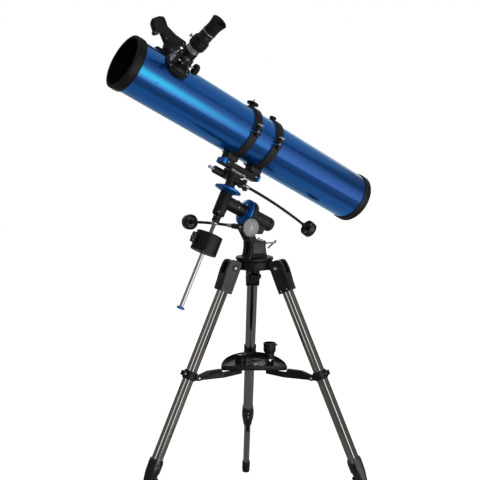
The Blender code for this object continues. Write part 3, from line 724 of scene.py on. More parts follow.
def build_collar(number, leg, side, body):
    outline = [(16.1, -12), (18.6, -12), (19.6, -11), (19.6, -8), (18.8, -7), (18.8, 7), (19.6, 8),
               (19.6, 11), (18.6, 12), (16.1, 12)]
    collar = start(f"arm_collar_{number}", lathe(raised(outline, COLLAR), 72), leg)
    ear = [(-17, -COLLAR - 9), (-17, -COLLAR + 9)] + arc((-27, -COLLAR), 7, 90, 270, 12)
    for low, high in ((-11, -6.3), (6.3, 11)):
        join(collar, prism(ear, low, high), side)
    for low, high in ((2.2, 9), (-9, -2.2)):
        join(collar, block((17, 25.5), (-COLLAR - 7, -COLLAR + 7), (low, high)), side)
    pin = moved(side, x=-27, y=-COLLAR)
    carve(collar, rod(2.6, -20, 20, 24), pin)
    done(collar, MOULDED, body, bevel=0.7, node=f"spreader_collar_{number}")
    piece(f"arm_pin_{number}", rod(2.45, -11.5, 11.5, 32, 0.3), pin, SCREW, body)
    for turn in (0, pi):
        end = moved(turned(pin, turn, "X"), z=11)
        piece(f"arm_pin_head_{number}_{turn > 1:d}", dome(4.2, -0.3, 1.9), end, SCREW, body)
    ear_screw = moved(side, x=21.3, y=-COLLAR)
    piece(f"collar_screw_{number}", rod(2.2, -11, 11, 24, 0.4), ear_screw, SCREW, body)


def build_clamp(number, leg, side, body):
    """The leg lock: a split tapered sleeve, its two screws and its lever."""
    outline = [(16.1, 508), (18.9, 508), (19.6, 508.8), (20, 520), (19, 548), (15, 572), (13.6, 582),
               (13, 583), (10.8, 583), (10.8, 549), (16.1, 549)]
    clamp = start(f"leg_lock_{number}", lathe(outline, 72), leg)
    notch = [(14, -507), (26, -507), (26, -516), (20, -528), (14, -516)]
    for turn in (90, -90):
        carve(clamp, prism(notch, -8, 8), turned(leg, radians(turn), "Z") @ ALONG_Y)
    join(clamp, block((-20, -12), (-568, -556), (-3.2, 3.2)), side)
    join(clamp, block((-19.6, -13), (-545, -516), (-8, 8)), side)
    done(clamp, GLOSS, body, bevel=0.8, node=f"leg_clamp_{number}")
    for place, t in enumerate((522, 537)):
        under = moved(leg, z=t) @ BACK_X
        screw_head(f"lock_screw_{number}_{place}", moved(under, z=19.6), body, 3.4, 2.0)
    handle = [(-24.2, -557.2), (-20.4, -557.2), (-20.3, -575), (-18.2, -596)]
    handle += arc((-20, -597.5), 2, 10, -150, 5) + [(-25.3, -578)]
    lever = start(f"lock_lever_{number}", prism(handle, -5, 5), side)
    done(lever, MOULDED, f"clamp_lever_body_{number}", bevel=0.9, segments=3,
         node=f"clamp_lever_{number}")


def build_spreader():
    for number in (1, 2, 3):
        place = hub_side(number)
        hinge = joint_place(f"arm_fold_{number}") - HUB.translation
        radius = hypot(hinge.x, hinge.y) / MM
        height = hinge.z / MM
        low = height - 10
        shoulder = height + (2 if number == 2 else 16)
        outline = arc((radius, height), 6.5, -90, 60, 12) + [(152, shoulder)]
        outline += arc((145, shoulder - 3), 3, 60, 90, 3) + [(110, shoulder), (105, low + 14.8)]
        outline += [(42, low + 14.8), (42, low + 4), (100, low)]
        arm = start(f"arm_{number}_channel", prism(outline, -6, 6), place)
        carve(arm, rod(2.6, -20, 20, 24), moved(place, radius, height))
        window = [(112, low + 3.5), (150, low + 5), (160, low + 8), (146, shoulder - 3),
                  (114, shoulder - 3)]
        groove = [(50, low + 6.6), (98, low + 2.4), (98, low + 8.8), (50, low + 12)]
        for outline in [groove] if number == 2 else [window, groove]:
            both_sides(carve, arm, prism, outline, 4, 9, place)
        done(arm, MOULDED, f"arm_{number}", bevel=0.9, node=f"spreader_arm_{number}")
    build_tray()


def build_tray():
    """A D-shaped pan with a rolled rim, ribs in its floor and its centre screw's cap."""
    back = joint_place("leg_fold_2") - HUB.translation
    place = axes(HUB.translation, (0, 0, 1), (back.x, back.y, 0))
    low, high = (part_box("accessory_tray")[k].z - HUB.translation.z for k in (0, 1))
    low, high = low / MM, high / MM
    outer = [(-43, -94), (-43, 94)] + ellipse_arc(-43, 171, 94, 90, -90, 72)[1:-1]
    foot = [(-38, -86), (-38, 86)] + ellipse_arc(-38, 158, 86, 90, -90, 72)[1:-1]
    floor = [(-40.4, -91), (-40.4, 91)] + ellipse_arc(-40.4, 165.6, 91, 90, -90, 72)[1:-1]
    shape = bmesh.new()
    loops = []
    for outline, z, step in ((foot, low, 0), (outer, low + 3.4, 0), (outer, high - 1.2, 0),
                             (outer, high, 0.7), (floor, high, -0.6), (floor, high - 1.2, 0),
                             (floor, low + 5.5, 0), (floor, low + 3.2, 3.4)):
        count = len(outline)
        loop = []
        for i, (x, y) in enumerate(outline):
            before = Vector(outline[i - 1])
            after = Vector(outline[(i + 1) % count])
            along = (after - before).normalized()
            inward = Vector((along.y, -along.x)) * step
            loop.append(shape.verts.new((x + inward.x, y + inward.y, z)))
        loops.append(loop)
    for a, b in zip(loops, loops[1:]):
        for i in range(len(a)):
            j = (i + 1) % len(a)
            shape.faces.new((a[i], a[j], b[j], b[i]))
    shape.faces.new(loops[0])
    shape.faces.new(loops[-1])
    tray = start("accessory_pan", shape, place)
    join(tray, pipe(17, 14.6, low + 2, low + 6, 64, 0.5), place)
    for x, y in (BARLOW, SPARE_EYEPIECE, (78, -14)):
        join(tray, pipe(18.4, 16.8, low + 2, low + 4.6, 64, 0.4), moved(place, x, y))
    done(tray, MOULDED, "tray", bevel=0.5, node="accessory_tray")
    cap = raised([(0, 2.8), (12, 2.8), (12.6, 3.6), (12.6, 6.6), (11, 8), (4, 8.6), (0, 8.6)], low)
    turning("tray_screw_cap", cap, place, GLOSS, "tray", 96, (24, 0.8, 2, 3))
    build_barlow(place, low + 3.2)
    build_spare_eyepiece(place, low + 3.2)


def build_barlow(place, floor):
    here = moved(place, *BARLOW, floor)
    barrel = [(0, 0.1), (11.4, 0.1), (12, 0.8), (12, 24), (0, 24)]
    turning("barlow_barrel", barrel, here, CHROME, "tray", 72)
    body = [(0, 23.9), (13.2, 23.9), (14, 24.8), (14, 41), (16.8, 44), (18, 46), (18, 62), (17.4, 63.5),
            (18.4, 64.5), (18.4, 69), (17.6, 70), (16.1, 70), (15.9, 56), (0, 56)]
    turning("barlow_body", body, here, MOULDED, "tray", 144, (36, 0.45, 5, 6))
    lens_cap = [(0, 56.2), (15.5, 56.2), (15.5, 57), (8, 58.2), (0, 58.6)]
    turning("barlow_lens", lens_cap, here, GLASS, "tray")
    stem = moved(here, z=66.6) @ turn_to((-0.55, -0.83, 0), (0, 0, 1))
    thumb_screw("barlow_thumbscrew", moved(stem, z=17.5), "tray", 3.4, 3.0, 4.0)


def build_spare_eyepiece(place, floor):
    here = moved(place, *SPARE_EYEPIECE, floor)
    ring = [(0, 0.1), (15.2, 0.1), (15.875, 0.8), (15.875, 5.4), (0, 5.4)]
    turning("spare_barrel", ring, here, CHROME, "tray", 72)
    body = [(0, 5.3), (16.6, 5.3), (17.2, 6), (17.2, 12), (15.8, 15), (15.2, 25), (16, 26.5),
            (16, 29), (15, 30), (12.5, 30), (9.5, 27.5), (0, 27.5)]
    turning("spare_body", body, here, MOULDED, "tray", 120, (30, 0.4, 3))
    turning("spare_lens", [(0, 27.4), (9.2, 27.4), (7, 28.3), (0, 28.7)], here, GLASS, "tray", 48)


# ---------------------------------------------------------------- mount

def build_base():
    """The azimuth casting: a round flange, a hollow post and the two latitude cheeks."""
    px, pz = PIVOT_X, PIVOT_Z
    flange = [(5.3, 67.3), (52.5, 67.3), (54, 68.6), (54, 74.5), (52.4, 76), (40, 76.6), (5.3, 76.6)]
    base = start("azimuth_casting", lathe(flange, 96), BASE)
    cheek = [(-31, 75), (-27, 88), (-24.5, 105), (-24.5, 120)]
    cheek += arc((px, pz), 14.5, 205, -40, 28)
    cheek += [(-4, 124), (24.5, 122), (24.5, 105), (27, 88), (31, 75)]
    join(base, prism(cheek, -20.6, 20.6), UPRIGHT)
    carve(base, block((-18, 18), (96, 220), (-13.3, 13.3)), UPRIGHT)
    carve(base, block((-70, -15), (127, 220), (-13.3, 13.3)), UPRIGHT)
    front = BASE @ turn_to((-1, 0, 0), (0, -1, 0))
    oval = arc((0, 87), 6.6, 180, 360, 12) + arc((0, 113), 6.6, 0, 180, 12)
    carve(base, prism(oval, 15, 40), front)
    carve(base, rod(4.3, -40, 40, 40), moved(UPRIGHT, px, pz))
    rear = moved(BASE, z=112) @ ALONG_X
    join(base, rod(7.5, 20, 27.5, 40, 0.8), rear)
    carve(base, rod(3.2, 10, 40, 32), rear)
    done(base, SATIN, "azimuth", bevel=1.3, segments=3, node="azimuth_base")

    for name, turn in (("left", 0), ("right", pi)):
        face = turned(BASE, turn, "Z") @ STOOD_UP
        outline = [(-19, 119)] + arc((-12, 90), 7.5, 190, 270, 6) + arc((14, 90), 7.5, 270, 350, 6)
        outline += [(21, 119)]
        if turn:
            outline = [(-x, y) for x, y in reversed(outline)]
        piece(f"side_cover_{name}", prism(outline, 20.4, 22.4), face, GLOSS, "azimuth", bevel=0.8,
              segments=3)
    for number, (x, y) in enumerate(((8, 128), (17.5, 124.4))):
        place = moved(UPRIGHT, x - 8, y, 20.4)
        nut(f"latitude_lock_bolt_{number}", place, "azimuth", 8.2 - number * 1.4, 4.6)
    for number in range(3):
        a = radians(100 + 120 * number)
        place = moved(BASE, 46.5 * cos(a), 46.5 * sin(a), 76.2)
        screw_head(f"flange_screw_{number}", place, "azimuth", 3.2, 1.8)

    bolt = [(0, 15), (2.4, 15)]
    for turn in range(22):
        bolt += [(3.0, 16 + turn * 1.25), (2.6, 16.6 + turn * 1.25)]
    bolt += [(2.9, 44), (2.9, 73), (2.4, 74), (0, 74)]
    t_bolt = start("latitude_t_bolt", lathe(bolt, 40), rear)
    bar = moved(BASE, 71, 14, 105.5) @ turn_to((0, 0.832, -0.555), (1, 0, 0))
    join(t_bolt, rod(2.6, -22, 22, 32, 0.6), bar)
    done(t_bolt, SCREW, "latitude_bolt_body", node="latitude_bolt")
    for turn in (0, pi):
        end = moved(turned(bar, turn, "X"), z=19.5)
        piece(f"t_bar_end_{turn > 1:d}", rod(3.3, 0, 2.6, 32, 0.6), end, SCREW, "latitude_bolt_body")


def in_plane(polar, declination):
    """A place of the mount as x and y of the UPRIGHT frame."""
    point = UPRIGHT.inverted() @ spot(polar, declination)
    return point.x / MM, point.y / MM


def build_polar_housing():
    px, pz = PIVOT_X, PIVOT_Z
    case = [(0, 18), (13, 18), (17, 19.5), (19.6, 23), (20.5, 28), (20.5, 90), (22, 93), (34, 95.4),
            (37, 97.5), (37.8, 100), (37.8, 110.5), (36.6, 112), (0, 112)]
    housing = start("polar_casting", lathe(case, 96), RA)
    under = POLAR_ON_DEC - CIRCLE_RADIUS - 0.6
    web = [in_plane(128, 128), (-51, 155), (-41, 149), (-24, 148), (-4, 151), (5, 140), (18, 140)]
    web += [(24, 150), in_plane(30, POLAR_ON_DEC), in_plane(111.5, POLAR_ON_DEC)]
    web += [in_plane(111.5, under), in_plane(121, under)]
    join(housing, prism(web, -12.8, 12.8), UPRIGHT)
    join(housing, rod(8, -13.5, 24, 40, 1.0), WORM)
    pivot = moved(UPRIGHT, px, pz)
    both_sides(carve, housing, rod, 15.3, 12.9, 45, pivot)
    join(housing, rod(4, -31, 20.5, 40), pivot)
    join(housing, rod(5.2, 20, 52, 32, 0.5), WORM)
    carve(housing, rod(12.2, 60, 140, 64), RA)
    carve(housing, pipe(60, 18.6, 34, 37, 96), RA)
    carve(housing, pipe(60, 18.6, 82, 84, 96), RA)
    done(housing, SATIN, "polar", bevel=0.9, node="polar_housing")

    ferrule = [(5.3, 24.6), (6.4, 24.6), (6.6, 25.4), (6.6, 34), (6.2, 34.8), (5.7, 35), (5.7, 50.5),
               (5.3, 51)]
    turning("ra_ferrule", ferrule, WORM, BEAD_BLASTED, "polar", 48)
    screw = moved(WORM, z=30) @ turn_to((-1, 0, 0), (0, 0, 1))
    screw_head("ra_ferrule_screw", moved(screw, z=6.2), "polar", 2.0, 1.2)
    end = turned(WORM, pi, "X")
    piece("worm_end_nut", rod(5.4, 13.3, 16.5, 32, 0.7), end, SCREW, "polar")
    piece("worm_end_stud", rod(2.6, 16, 20.5, 24, 0.6), end, CHROME, "polar")
    cap = [(0, 17.9), (11, 17.9), (11, 16.4), (9.5, 15.6), (0, 15.6)]
    turning("polar_end_cap", cap, RA, MOULDED, "polar")
    for number in range(2):
        a = radians(45 + 90 * number)
        place = moved(RA, 29.5 * cos(a), 29.5 * sin(a), 95.4) @ UPSIDE_DOWN
        screw_head(f"gear_case_screw_{number}", moved(place, z=0.6), "polar", 2.4, 1.4)

    build_latitude_scale(px, pz)
    build_ra_circle()
    build_ra_cable()


def build_latitude_scale(px, pz):
    hub = [(4.3, 21), (11.2, 21), (12, 21.8), (12, 37), (4.3, 37)]
    pivot = moved(UPRIGHT, px, pz)
    disc_place = moved(UPRIGHT, px - 9, pz + 1.5)
    scale = start("latitude_disc", lathe(hub, 64), pivot)
    join(scale, rod(11.5, 30, 39, 64), pivot)
    disc = [(0, 38.4), (25.2, 38.4), (26, 39.2), (26, 41.2), (25.3, 41.9), (24.8, 42), (23.4, 41.4),
            (15.5, 41.4), (14.6, 42.2), (8.8, 42.2), (8, 41.6), (0, 41.6)]
    join(scale, lathe(disc, 96), disc_place)
    done(scale, SPUN, "polar", node="latitude_scale")
    marks = []
    for step in range(46):
        a = radians(step * 4 - 90)
        length = 4.6 if step % 5 == 0 else 2.6
        tick = block((22.6 - length, 22.6), (-0.28, 0.28), (41.2, 41.62))
        marks.append((tick, Matrix.Rotation(a, 4, "Z")))
    piece("latitude_marks", merged(marks), disc_place, DARK_INK, "polar")
    head = moved(disc_place, z=41.6)
    piece("latitude_washer", rod(6.6, 0, 0.9, 48, 0.2), head, SCREW, "polar")
    nut("latitude_pivot_nut", moved(head, z=0.8), "polar", 9.5, 3.0)
    pointer = [(-30, -2.6), (-27.4, 0), (-30, 2.6), (-35, 3.4), (-35, -3.4)]
    piece("latitude_pointer", prism([(y, -x) for x, y in pointer], 22.5, 24),
          moved(UPRIGHT, px + 9, pz - 44), SCREW, "azimuth")


def circle_marks(name, place, body, radius, low, high, count, every):
    """Divisions round the rim of a setting circle, longer at each main one."""
    marks = []
    for step in range(count):
        start_at = low if step % every == 0 else (low + high) / 2
        tick = block((radius - 0.5, radius + 0.12), (-0.22, 0.22), (start_at, high))
        marks.append((tick, Matrix.Rotation(2 * pi * step / count, 4, "Z")))
    piece(name, merged(marks), place, WHITE_INK, body)


def build_ra_circle():
    r = CIRCLE_RADIUS
    outline = [(12.5, 112.6), (35, 112.6), (r - 0.4, 115.4), (r, 116), (r, 119.2), (r - 0.6, 119.8),
               (34.5, 120.4), (33.6, 121.2), (24, 124.6), (21.5, 124.8), (20.4, 126.6), (19, 127),
               (12.5, 127)]
    turning("ra_dial", outline, RA, ANODISED, "ra_circle", 128, node="ra_setting_circle")
    circle_marks("ra_dial_marks", RA, "ra_circle", r, 116.4, 118.9, 72, 6)


def build_cable(name, points, body, node, knob_node, knob_body):
    """A sprung shaft in a ribbed sleeve, from its ferrule to its knob."""
    route = spline(points, CABLE_STEPS)
    shape = sweep(route, CABLE_RADIUS, 24, wave=0.45, pitch=4.2)
    cable = piece(name, shape, HERE, RUBBER, body, node=node)
    knob = build_control_knob(knob_node, route, knob_body)


def build_control_knob(node, route, body):
    """A fluted knob with a deep dished face, and the socket that takes the shaft."""
    end = (route[-1] - route[-2]).normalized()
    place = axes((route[-1] + end * 0.4) * MM, end, (0.1, 0.2, 1))
    outline = [(0, 0), (6.8, 0), (7.6, 0.8), (8, 6), (17, 7.2), (18.6, 3.2), (21.5, 2.2), (23.2, 3.2),
               (24, 5), (24, 20.5), (23, 23.4), (20.6, 25), (17.6, 25.6), (15.8, 24.4), (13.5, 19),
               (9, 17.2), (5.8, 17.4), (5.2, 20.5), (4.2, 21.4), (0, 21.4)]
    knob = turning(f"{node}_grip", outline, place, GLOSS, body, 180, (18, 0.8, 8, 9), node=node)
    socket = [(4.5, -13), (5.8, -12.6), (6.4, -11), (6.6, -0.2), (4.5, -0.2)]
    sleeve = turning(f"{node}_socket", socket, place, MOULDED, body, 48)
    screw = piece(f"{node}_screw", dome(2.6, 21.2, 1.4), place, SCREW, body)
    return [knob, sleeve, screw]


def build_ra_cable():
    start_point = BASE.translation / MM
    points = [start_point + Vector(p) for p in RA_CABLE]
    build_cable("ra_flexible_shaft", points, "polar", "ra_cable", "ra_knob", "ra_control")


def build_declination():
    """The declination casting on the polar shaft, with its collars and screws."""
    body = [(0, 126), (15.9, 126), (16.6, 126.8), (17.5, 129), (18, 133), (18, 192.6), (17.4, 194),
            (0, 194)]
    housing = start("declination_casting", lathe(body, 80), DEC)
    arm = [(0, 62), (12, 62), (12, 128), (17.5, 128), (19, 129.4), (19, DEC_ON_POLAR - 6),
           (0, DEC_ON_POLAR - 6)]
    join(housing, lathe(arm, 80), RA)
    carve(housing, rod(9.2, 110, 210, 64), DEC)
    done(housing, SATIN, "declination_housing", bevel=1.2, segments=3, node="dec_housing")
    for turn in (35, 125, 235, 305):
        place = moved(turned(DEC, radians(turn), "Z"), z=134.5) @ ACROSS_X
        screw_head(f"casting_screw_{turn}", moved(place, z=17.6), "declination_housing", 2.6, 1.4, CHROME)
    side = moved(RA, z=152) @ turn_to((0, -1, 0), (0, 0, 1))
    screw_head("arm_screw", moved(side, z=18.7), "declination_housing")
    top = moved(RA, z=150) @ ACROSS_X
    piece("arm_cap", rod(4.4, 18.4, 20.4, 40, 0.5), top, MOULDED, "declination_housing")
    reach = moved(RA, z=136) @ turn_to((0.55, -0.83, 0), (0, 0, 1))
    lever = start("ra_lock_lever", rod(5.2, 17, 27, 40, 0.8), reach)
    handle = arc((0, 0), 4.4, 90, 270, 8) + [(17, -2.3)]
    handle += arc((19, 0), 2.6, -90, 90, 6) + [(17, 2.3)]
    join(lever, prism(handle, 23.2, 27.4), turned(reach, radians(160), "Z"))
    done(lever, MOULDED, "declination_housing", bevel=0.6)
    nut("ra_lock_nut", moved(reach, z=27), "declination_housing", 5.5, 2.0)


def build_dec_head():
    shaft = [(4.3, 104), (8.4, 104), (9, 104.6), (9, 213.3), (14, 213.3), (14.5, 213.8), (14.5, 236),
             (15.8, 238), (15.8, 248), (0, 248), (0, 132), (4.3, 132)]
    head = start("declination_head", lathe(shaft, 72), DEC)
    join(head, prism(rounded(46, 40, 4), 247, 252), DEC)
    join(head, rod(11, -50, 50, 56, 1.4), DEC_WORM)
    join(head, block((-20, 20), (5, 30), (233, 249)), DEC)
    collar = [(8.8, 107.6), (10.6, 107.6), (11.4, 108.4), (11.5, 114), (10.6, 115), (10.6, 117),
              (11.4, 118), (11.4, 124.8), (10.8, 125.5), (8.8, 125.5)]
    join(head, lathe(collar, 48), DEC)
    join(head, rod(5.2, 45, 79, 40, 0.5), DEC_WORM)
    done(head, SATIN, "declination", bevel=1.0, node="dec_head")
    plate = start("saddle_plate", prism(rounded(52, 44, 3), 252.2, 257.9), DEC)
    carve(plate, block((-14, 14), (-30, -18), (250, 260)), DEC)
    done(plate, SPUN, "declination", bevel=0.7)
    for x in (-20, 20):
        for y in (-15, 15):
            side = -1 if y < 0 else 1
            place = moved(DEC, x, side * 21.6, 255) @ turn_to((0, side, 0), (1, 0, 0))
            screw_head(f"saddle_screw_{x > 0:d}{y > 0:d}", place, "declination", 2.2, 1.3)
    ferrule = [(5.3, 52), (6.4, 52), (6.6, 52.8), (6.6, 62), (6, 63), (5.7, 63.2), (5.7, 78), (5.3, 78.4)]
    turning("dec_ferrule", ferrule, DEC_WORM, BEAD_BLASTED, "declination", 48)
    end = turned(DEC_WORM, pi, "X")
    piece("dec_worm_nut", rod(6.2, 49.8, 53.5, 48, 0.8), end, SCREW, "declination")
    piece("dec_worm_stud", rod(4.2, 53, 68, 40, 0.8), end, CHROME, "declination")
    ring = [(6.15, 99.6), (9.6, 99.6), (10.2, 100.2), (10.2, 103), (9.6, 103.6), (6.15, 103.6)]
    turning("declination_retainer", ring, DEC, SCREW, "declination", 72, (12, 0.5, 2, 3))
    for turn in (200, 320):
        place = moved(turned(DEC, radians(turn), "Z"), z=121.4) @ ACROSS_X
        screw_head(f"collar_grub_{turn}", moved(place, z=11.2), "declination", 1.8, 1.0)

    r = CIRCLE_RADIUS
    outline = [(9.5, 194.6), (20, 194.6), (22, 195.6), (30, 199.3), (36, 199.8), (r - 0.4, 200.4),
               (r, 201.2), (r, 204.6), (r - 0.6, 205.4), (34.5, 206.2), (33, 207.4), (22, 210),
               (20.5, 211.8), (15, 212.7), (9.5, 212.7)]
    turning("declination_dial", outline, DEC, ANODISED, "dec_circle", 128, node="dec_setting_circle")
    circle_marks("declination_dial_marks", DEC, "dec_circle", r, 201.6, 204.3, 72, 6)

    lock = axes(joint_place("dec_lock_turn"), joint_axis("dec_lock_turn"), DECLINATION)
    star = []
    for k in range(3):
        star += arc((13 * cos(2 * pi * k / 3), 13 * sin(2 * pi * k / 3)), 5.2,
                    120 * k - 85, 120 * k + 85, 12)
        star += arc((11.5 * cos(2 * pi * (k + 0.5) / 3), 11.5 * sin(2 * pi * (k + 0.5) / 3)), 6.2,
                    120 * k + 60 + 120, 120 * k + 60 + 240, 8)[::-1]
    knob = start("declination_lock", prism(star, 41, 50.5), lock)
    join(knob, rod(3.6, 15.2, 45, 40), lock)
    join(knob, rod(6, 36, 42, 48, 0.8), lock)
    carve(knob, rod(5, 48.4, 52, 48), lock)
    done(knob, GLOSS, "dec_lock", bevel=1.5, segments=3, node="dec_lock_knob")
    screw_head("declination_lock_screw", moved(lock, z=48.4), "dec_lock", 3.9, 2.2, CHROME)

    points = [spot(p, d, 30) / MM for p, d in DEC_CABLE]
    build_cable("dec_flexible_shaft", points, "declination", "dec_cable", "dec_knob", "dec_control")


def build_counterweight():
    thread = [(0, -143.6), (5.4, -143.6), (6, -143), (6, 71)]
    for turn in range(21):
        z = 72 + turn * 1.45
        thread += [(5.95, z), (5.4, z + 0.72)]
    thread += [(5.4, 103.4), (4, 103.4), (4, 130.8), (0, 130.8)]
    turning("weight_rod", thread, DEC, CHROME, "declination", node="counterweight_shaft")
    cap = [(0, -151), (8.6, -151), (10.4, -150.2), (11, -149), (11, -146), (10.4, -144.8), (9.4, -144),
           (0, -144)]
    turning("rod_toe_cap", cap, DEC, ANODISED, "declination", 144, (18, 0.8, 3, 4), node="toe_cap")
    weight = [(6.15, 14.5), (8, 14.5), (8.6, 15.6), (34.6, 15.6), (35.4, 14.6), (36.6, 15),
              (37.5, 16.4), (37.5, 67.6), (36.6, 69), (35.4, 69.4), (34.6, 68.4), (8.6, 68.4),
              (8, 69.5), (6.15, 69.5)]
    body = start("weight", lathe(weight, 96), DEC)
    lock = axes(joint_place("weight_lock_turn"), joint_axis("weight_lock_turn"), DECLINATION)
    carve(body, rod(3.3, 5, 45, 32), lock)
    done(body, WEIGHT_PAINT, "weight", bevel=0.4, node="counterweight")
    wing = rounded(30, 11, 5.2, 8)
    knob = start("weight_wing", prism(wing, 42, 50.5), lock)
    join(knob, rod(8, 41.8, 51, 48, 1.2), lock)
    carve(knob, rod(4.6, 49.6, 52, 40), lock)
    join(knob, rod(3, 7, 44, 32), lock)
    join(knob, rod(6.6, 38.4, 43, 40, 0.8), lock)
    done(knob, GLOSS, "weight_lock", bevel=1.3, segments=3, node="counterweight_knob")
    screw_head("weight_lock_screw", moved(lock, z=49.6), "weight_lock", 3.7, 1.8, CHROME)


# ---------------------------------------------------------------- saddle and rings

def build_saddle_bar():
    near = DEC_ON_POLAR - 254
    far = DEC_ON_POLAR - 124
    outline = [(near + 2, 258.3), (far - 3, 258.3), (far, 261), (far, 276), (far - 3, 279), (near + 8, 279),
               (near, 274), (near, 261)]
    upright = DEC @ STOOD_UP
    bar = start("dovetail_bar", prism(outline, -19, 19), upright)
    carve(bar, block((near + 34, far - 30), (274.5, 290), (-30, 30)), upright)
    for side in (-1, 1):
        low, high = sorted((side * 13.5, side * 24))
        carve(bar, block((near - 5, far + 5), (250, 262.5), (low, high)), upright)
    done(bar, SATIN, "declination", bevel=1.0, node="saddle_bar")
    for name, low, high in (("front", near - 0.8, near + 9), ("rear", far - 6, far + 0.6)):
        shape = block((low, high), (260.4, 276.4), (-19.6, 19.6))
        piece(f"saddle_inlay_{name}", shape, upright, ANODISED, "declination", bevel=0.8)
    for x in (near + 16, far - 14):
        screw_head(f"saddle_bolt_{x > 0:d}", moved(upright, x, 269, 18.9), "declination", 3.2, 1.7)
        screw_head(f"saddle_far_bolt_{x > 0:d}", moved(turned(upright, pi, "Y"), -x, 269, 18.9),
                   "declination", 3.2, 1.7)


def half_ring(outer, inner, low, high, upper, gap):
    """Half of a ring about z, ending a gap short of the plane x = 0."""
    middle = 0 if upper else 180
    lean = degrees(gap / outer)
    outline = arc((0, 0), outer, middle + 90 - lean, middle - 90 + lean, 64)
    outline += arc((0, 0), inner, middle - 90 + lean, middle + 90 - lean, 64)
    return prism(outline, low, high)


def build_rings():
    outer = TUBE_RADIUS + 5.6
    inner = TUBE_RADIUS + 1.3
    for number, z in enumerate(RINGS, 1):
        low = z - RING_WIDTH / 2
        high = z + RING_WIDTH / 2
        lower = start(f"ring_cradle_{number}", half_ring(outer, inner, low, high, False, 4.5), TUBE)
        foot = (low - 4, high + 10) if number == 1 else (low - 10, high + 4)
        join(lower, block((279.3 - TUBE_ON_DEC, 12 - outer), (-16, 16), foot), TUBE)
        carve(lower, rod(inner, low - 30, high + 30, 128), TUBE)
        join(lower, block((-9, -0.5), (73, 91), (low + 3, high - 3)), TUBE)
        join(lower, block((-9, -4.6), (-90, -73), (low + 3.5, high - 3.5)), TUBE)
        done(lower, RING_PAINT, "declination", bevel=0.8, node=f"ring_lower_{number}")
        build_ring_top(number, z, low, high, outer, inner)

        for name, upper, body in (("low", False, "declination"), ("top", True, f"ring_top_{number}")):
            felt = half_ring(inner - 0.1, TUBE_RADIUS + 0.25, low - 1.4, high + 1.4, upper, 4)
            piece(f"ring_felt_{name}_{number}", felt, TUBE, FELT, body, angle=60)

        pin = moved(TUBE, y=RING_HINGE, z=z)
        piece(f"ring_pin_{number}", rod(1.6, -11.5, 11.5, 24, 0.3), pin, SCREW, "declination")
        for turn in (0, 1):
            knuckle = pipe(2.9, 1.75, *((3.6, 10) if turn else (-10, -3.6)), 24, 0.3)
            piece(f"ring_knuckle_{number}_{turn}", knuckle, pin, SATIN, "declination")
        piece(f"ring_mid_knuckle_{number}", pipe(2.9, 1.75, -3.3, 3.3, 24, 0.3), pin, SATIN,
              f"ring_top_{number}")
        build_clasp(number, z)


def build_ring_top(number, z, low, high, outer, inner):
    body = f"ring_top_{number}"
    upper = start(f"ring_bow_{number}", half_ring(outer, inner, low, high, True, 4), TUBE)
    join(upper, block((0.5, 9), (73, 91), (low + 3, high - 3)), TUBE)
    join(upper, block((3.6, 8), (-90, -73), (low + 3.5, high - 3.5)), TUBE)
    stud = moved(TUBE, z=z) @ ALONG_X
    boss = 9.5 if number == 1 else 7.5
    join(upper, rod(boss, 72.5, 79.4, 48, 1), stud)
    carve(upper, rod(inner, low - 20, high + 20, 128), TUBE)
    done(upper, RING_PAINT, body, bevel=0.8, node=f"ring_upper_{number}")
    if number == 1:
        outline = [(0, 79.2), (8, 79.2), (8.4, 80), (8.4, 83), (12.5, 84.2), (16.6, 84.6), (17.3, 85.6),
                   (17.3, 88.4), (16.4, 89.6), (10, 91), (4, 91.6), (0, 91.6)]
        turning("piggyback_knob", outline, stud, MOULDED, body, 160, (32, 0.7, 6, 7))
        thread = [(0, 91), (2.4, 91)]
        for turn in range(7):
            thread += [(2.5, 91.6 + turn * 1.2), (2.1, 92.2 + turn * 1.2)]
        thread += [(2.2, 100), (0, 100.4)]
        turning("piggyback_screw", thread, stud, SCREW, body, 36)
    else:
        outline = [(0, 79.2), (6.2, 79.2), (6.6, 80), (9.6, 80.6), (10.2, 81.6), (10.2, 84.6),
                   (9.2, 85.8), (6, 86.2), (0, 86.2)]
        turning("ring_cap", outline, stud, MOULDED, body, 120, (24, 0.5, 4, 5))


def build_clasp(number, z):
    """The swing bolt: a chrome nut over the upper lug, its post and a black lower end."""
    body = f"ring_top_{number}"
    place = moved(TUBE, y=-83, z=z) @ ALONG_X
    cap = [(0, 13), (7.4, 13), (9.4, 14), (10.2, 15.6), (9.8, 17.8), (8, 19.8), (4.4, 21.2), (0, 21.6)]
    turning(f"clasp_nut_{number}", cap, place, CHROME, body)
    collar = [(0, 8.1), (6.6, 8.1), (7.2, 8.8), (7.2, 11.8), (6, 13), (0, 13)]
    turning(f"clasp_collar_{number}", collar, place, GLOSS, body, 96, (16, 0.8, 2, 3))
    piece(f"clasp_post_{number}", rod(2.3, -14, 9, 32, 0.3), place, SCREW, body)
    tip = [(0, -16), (4.6, -16), (6, -15), (6.4, -13.6), (6, -10.4), (4.6, -9.3), (0, -9.3)]
    turning(f"clasp_tip_{number}", tip, place, GLOSS, body)


# ---------------------------------------------------------------- tube

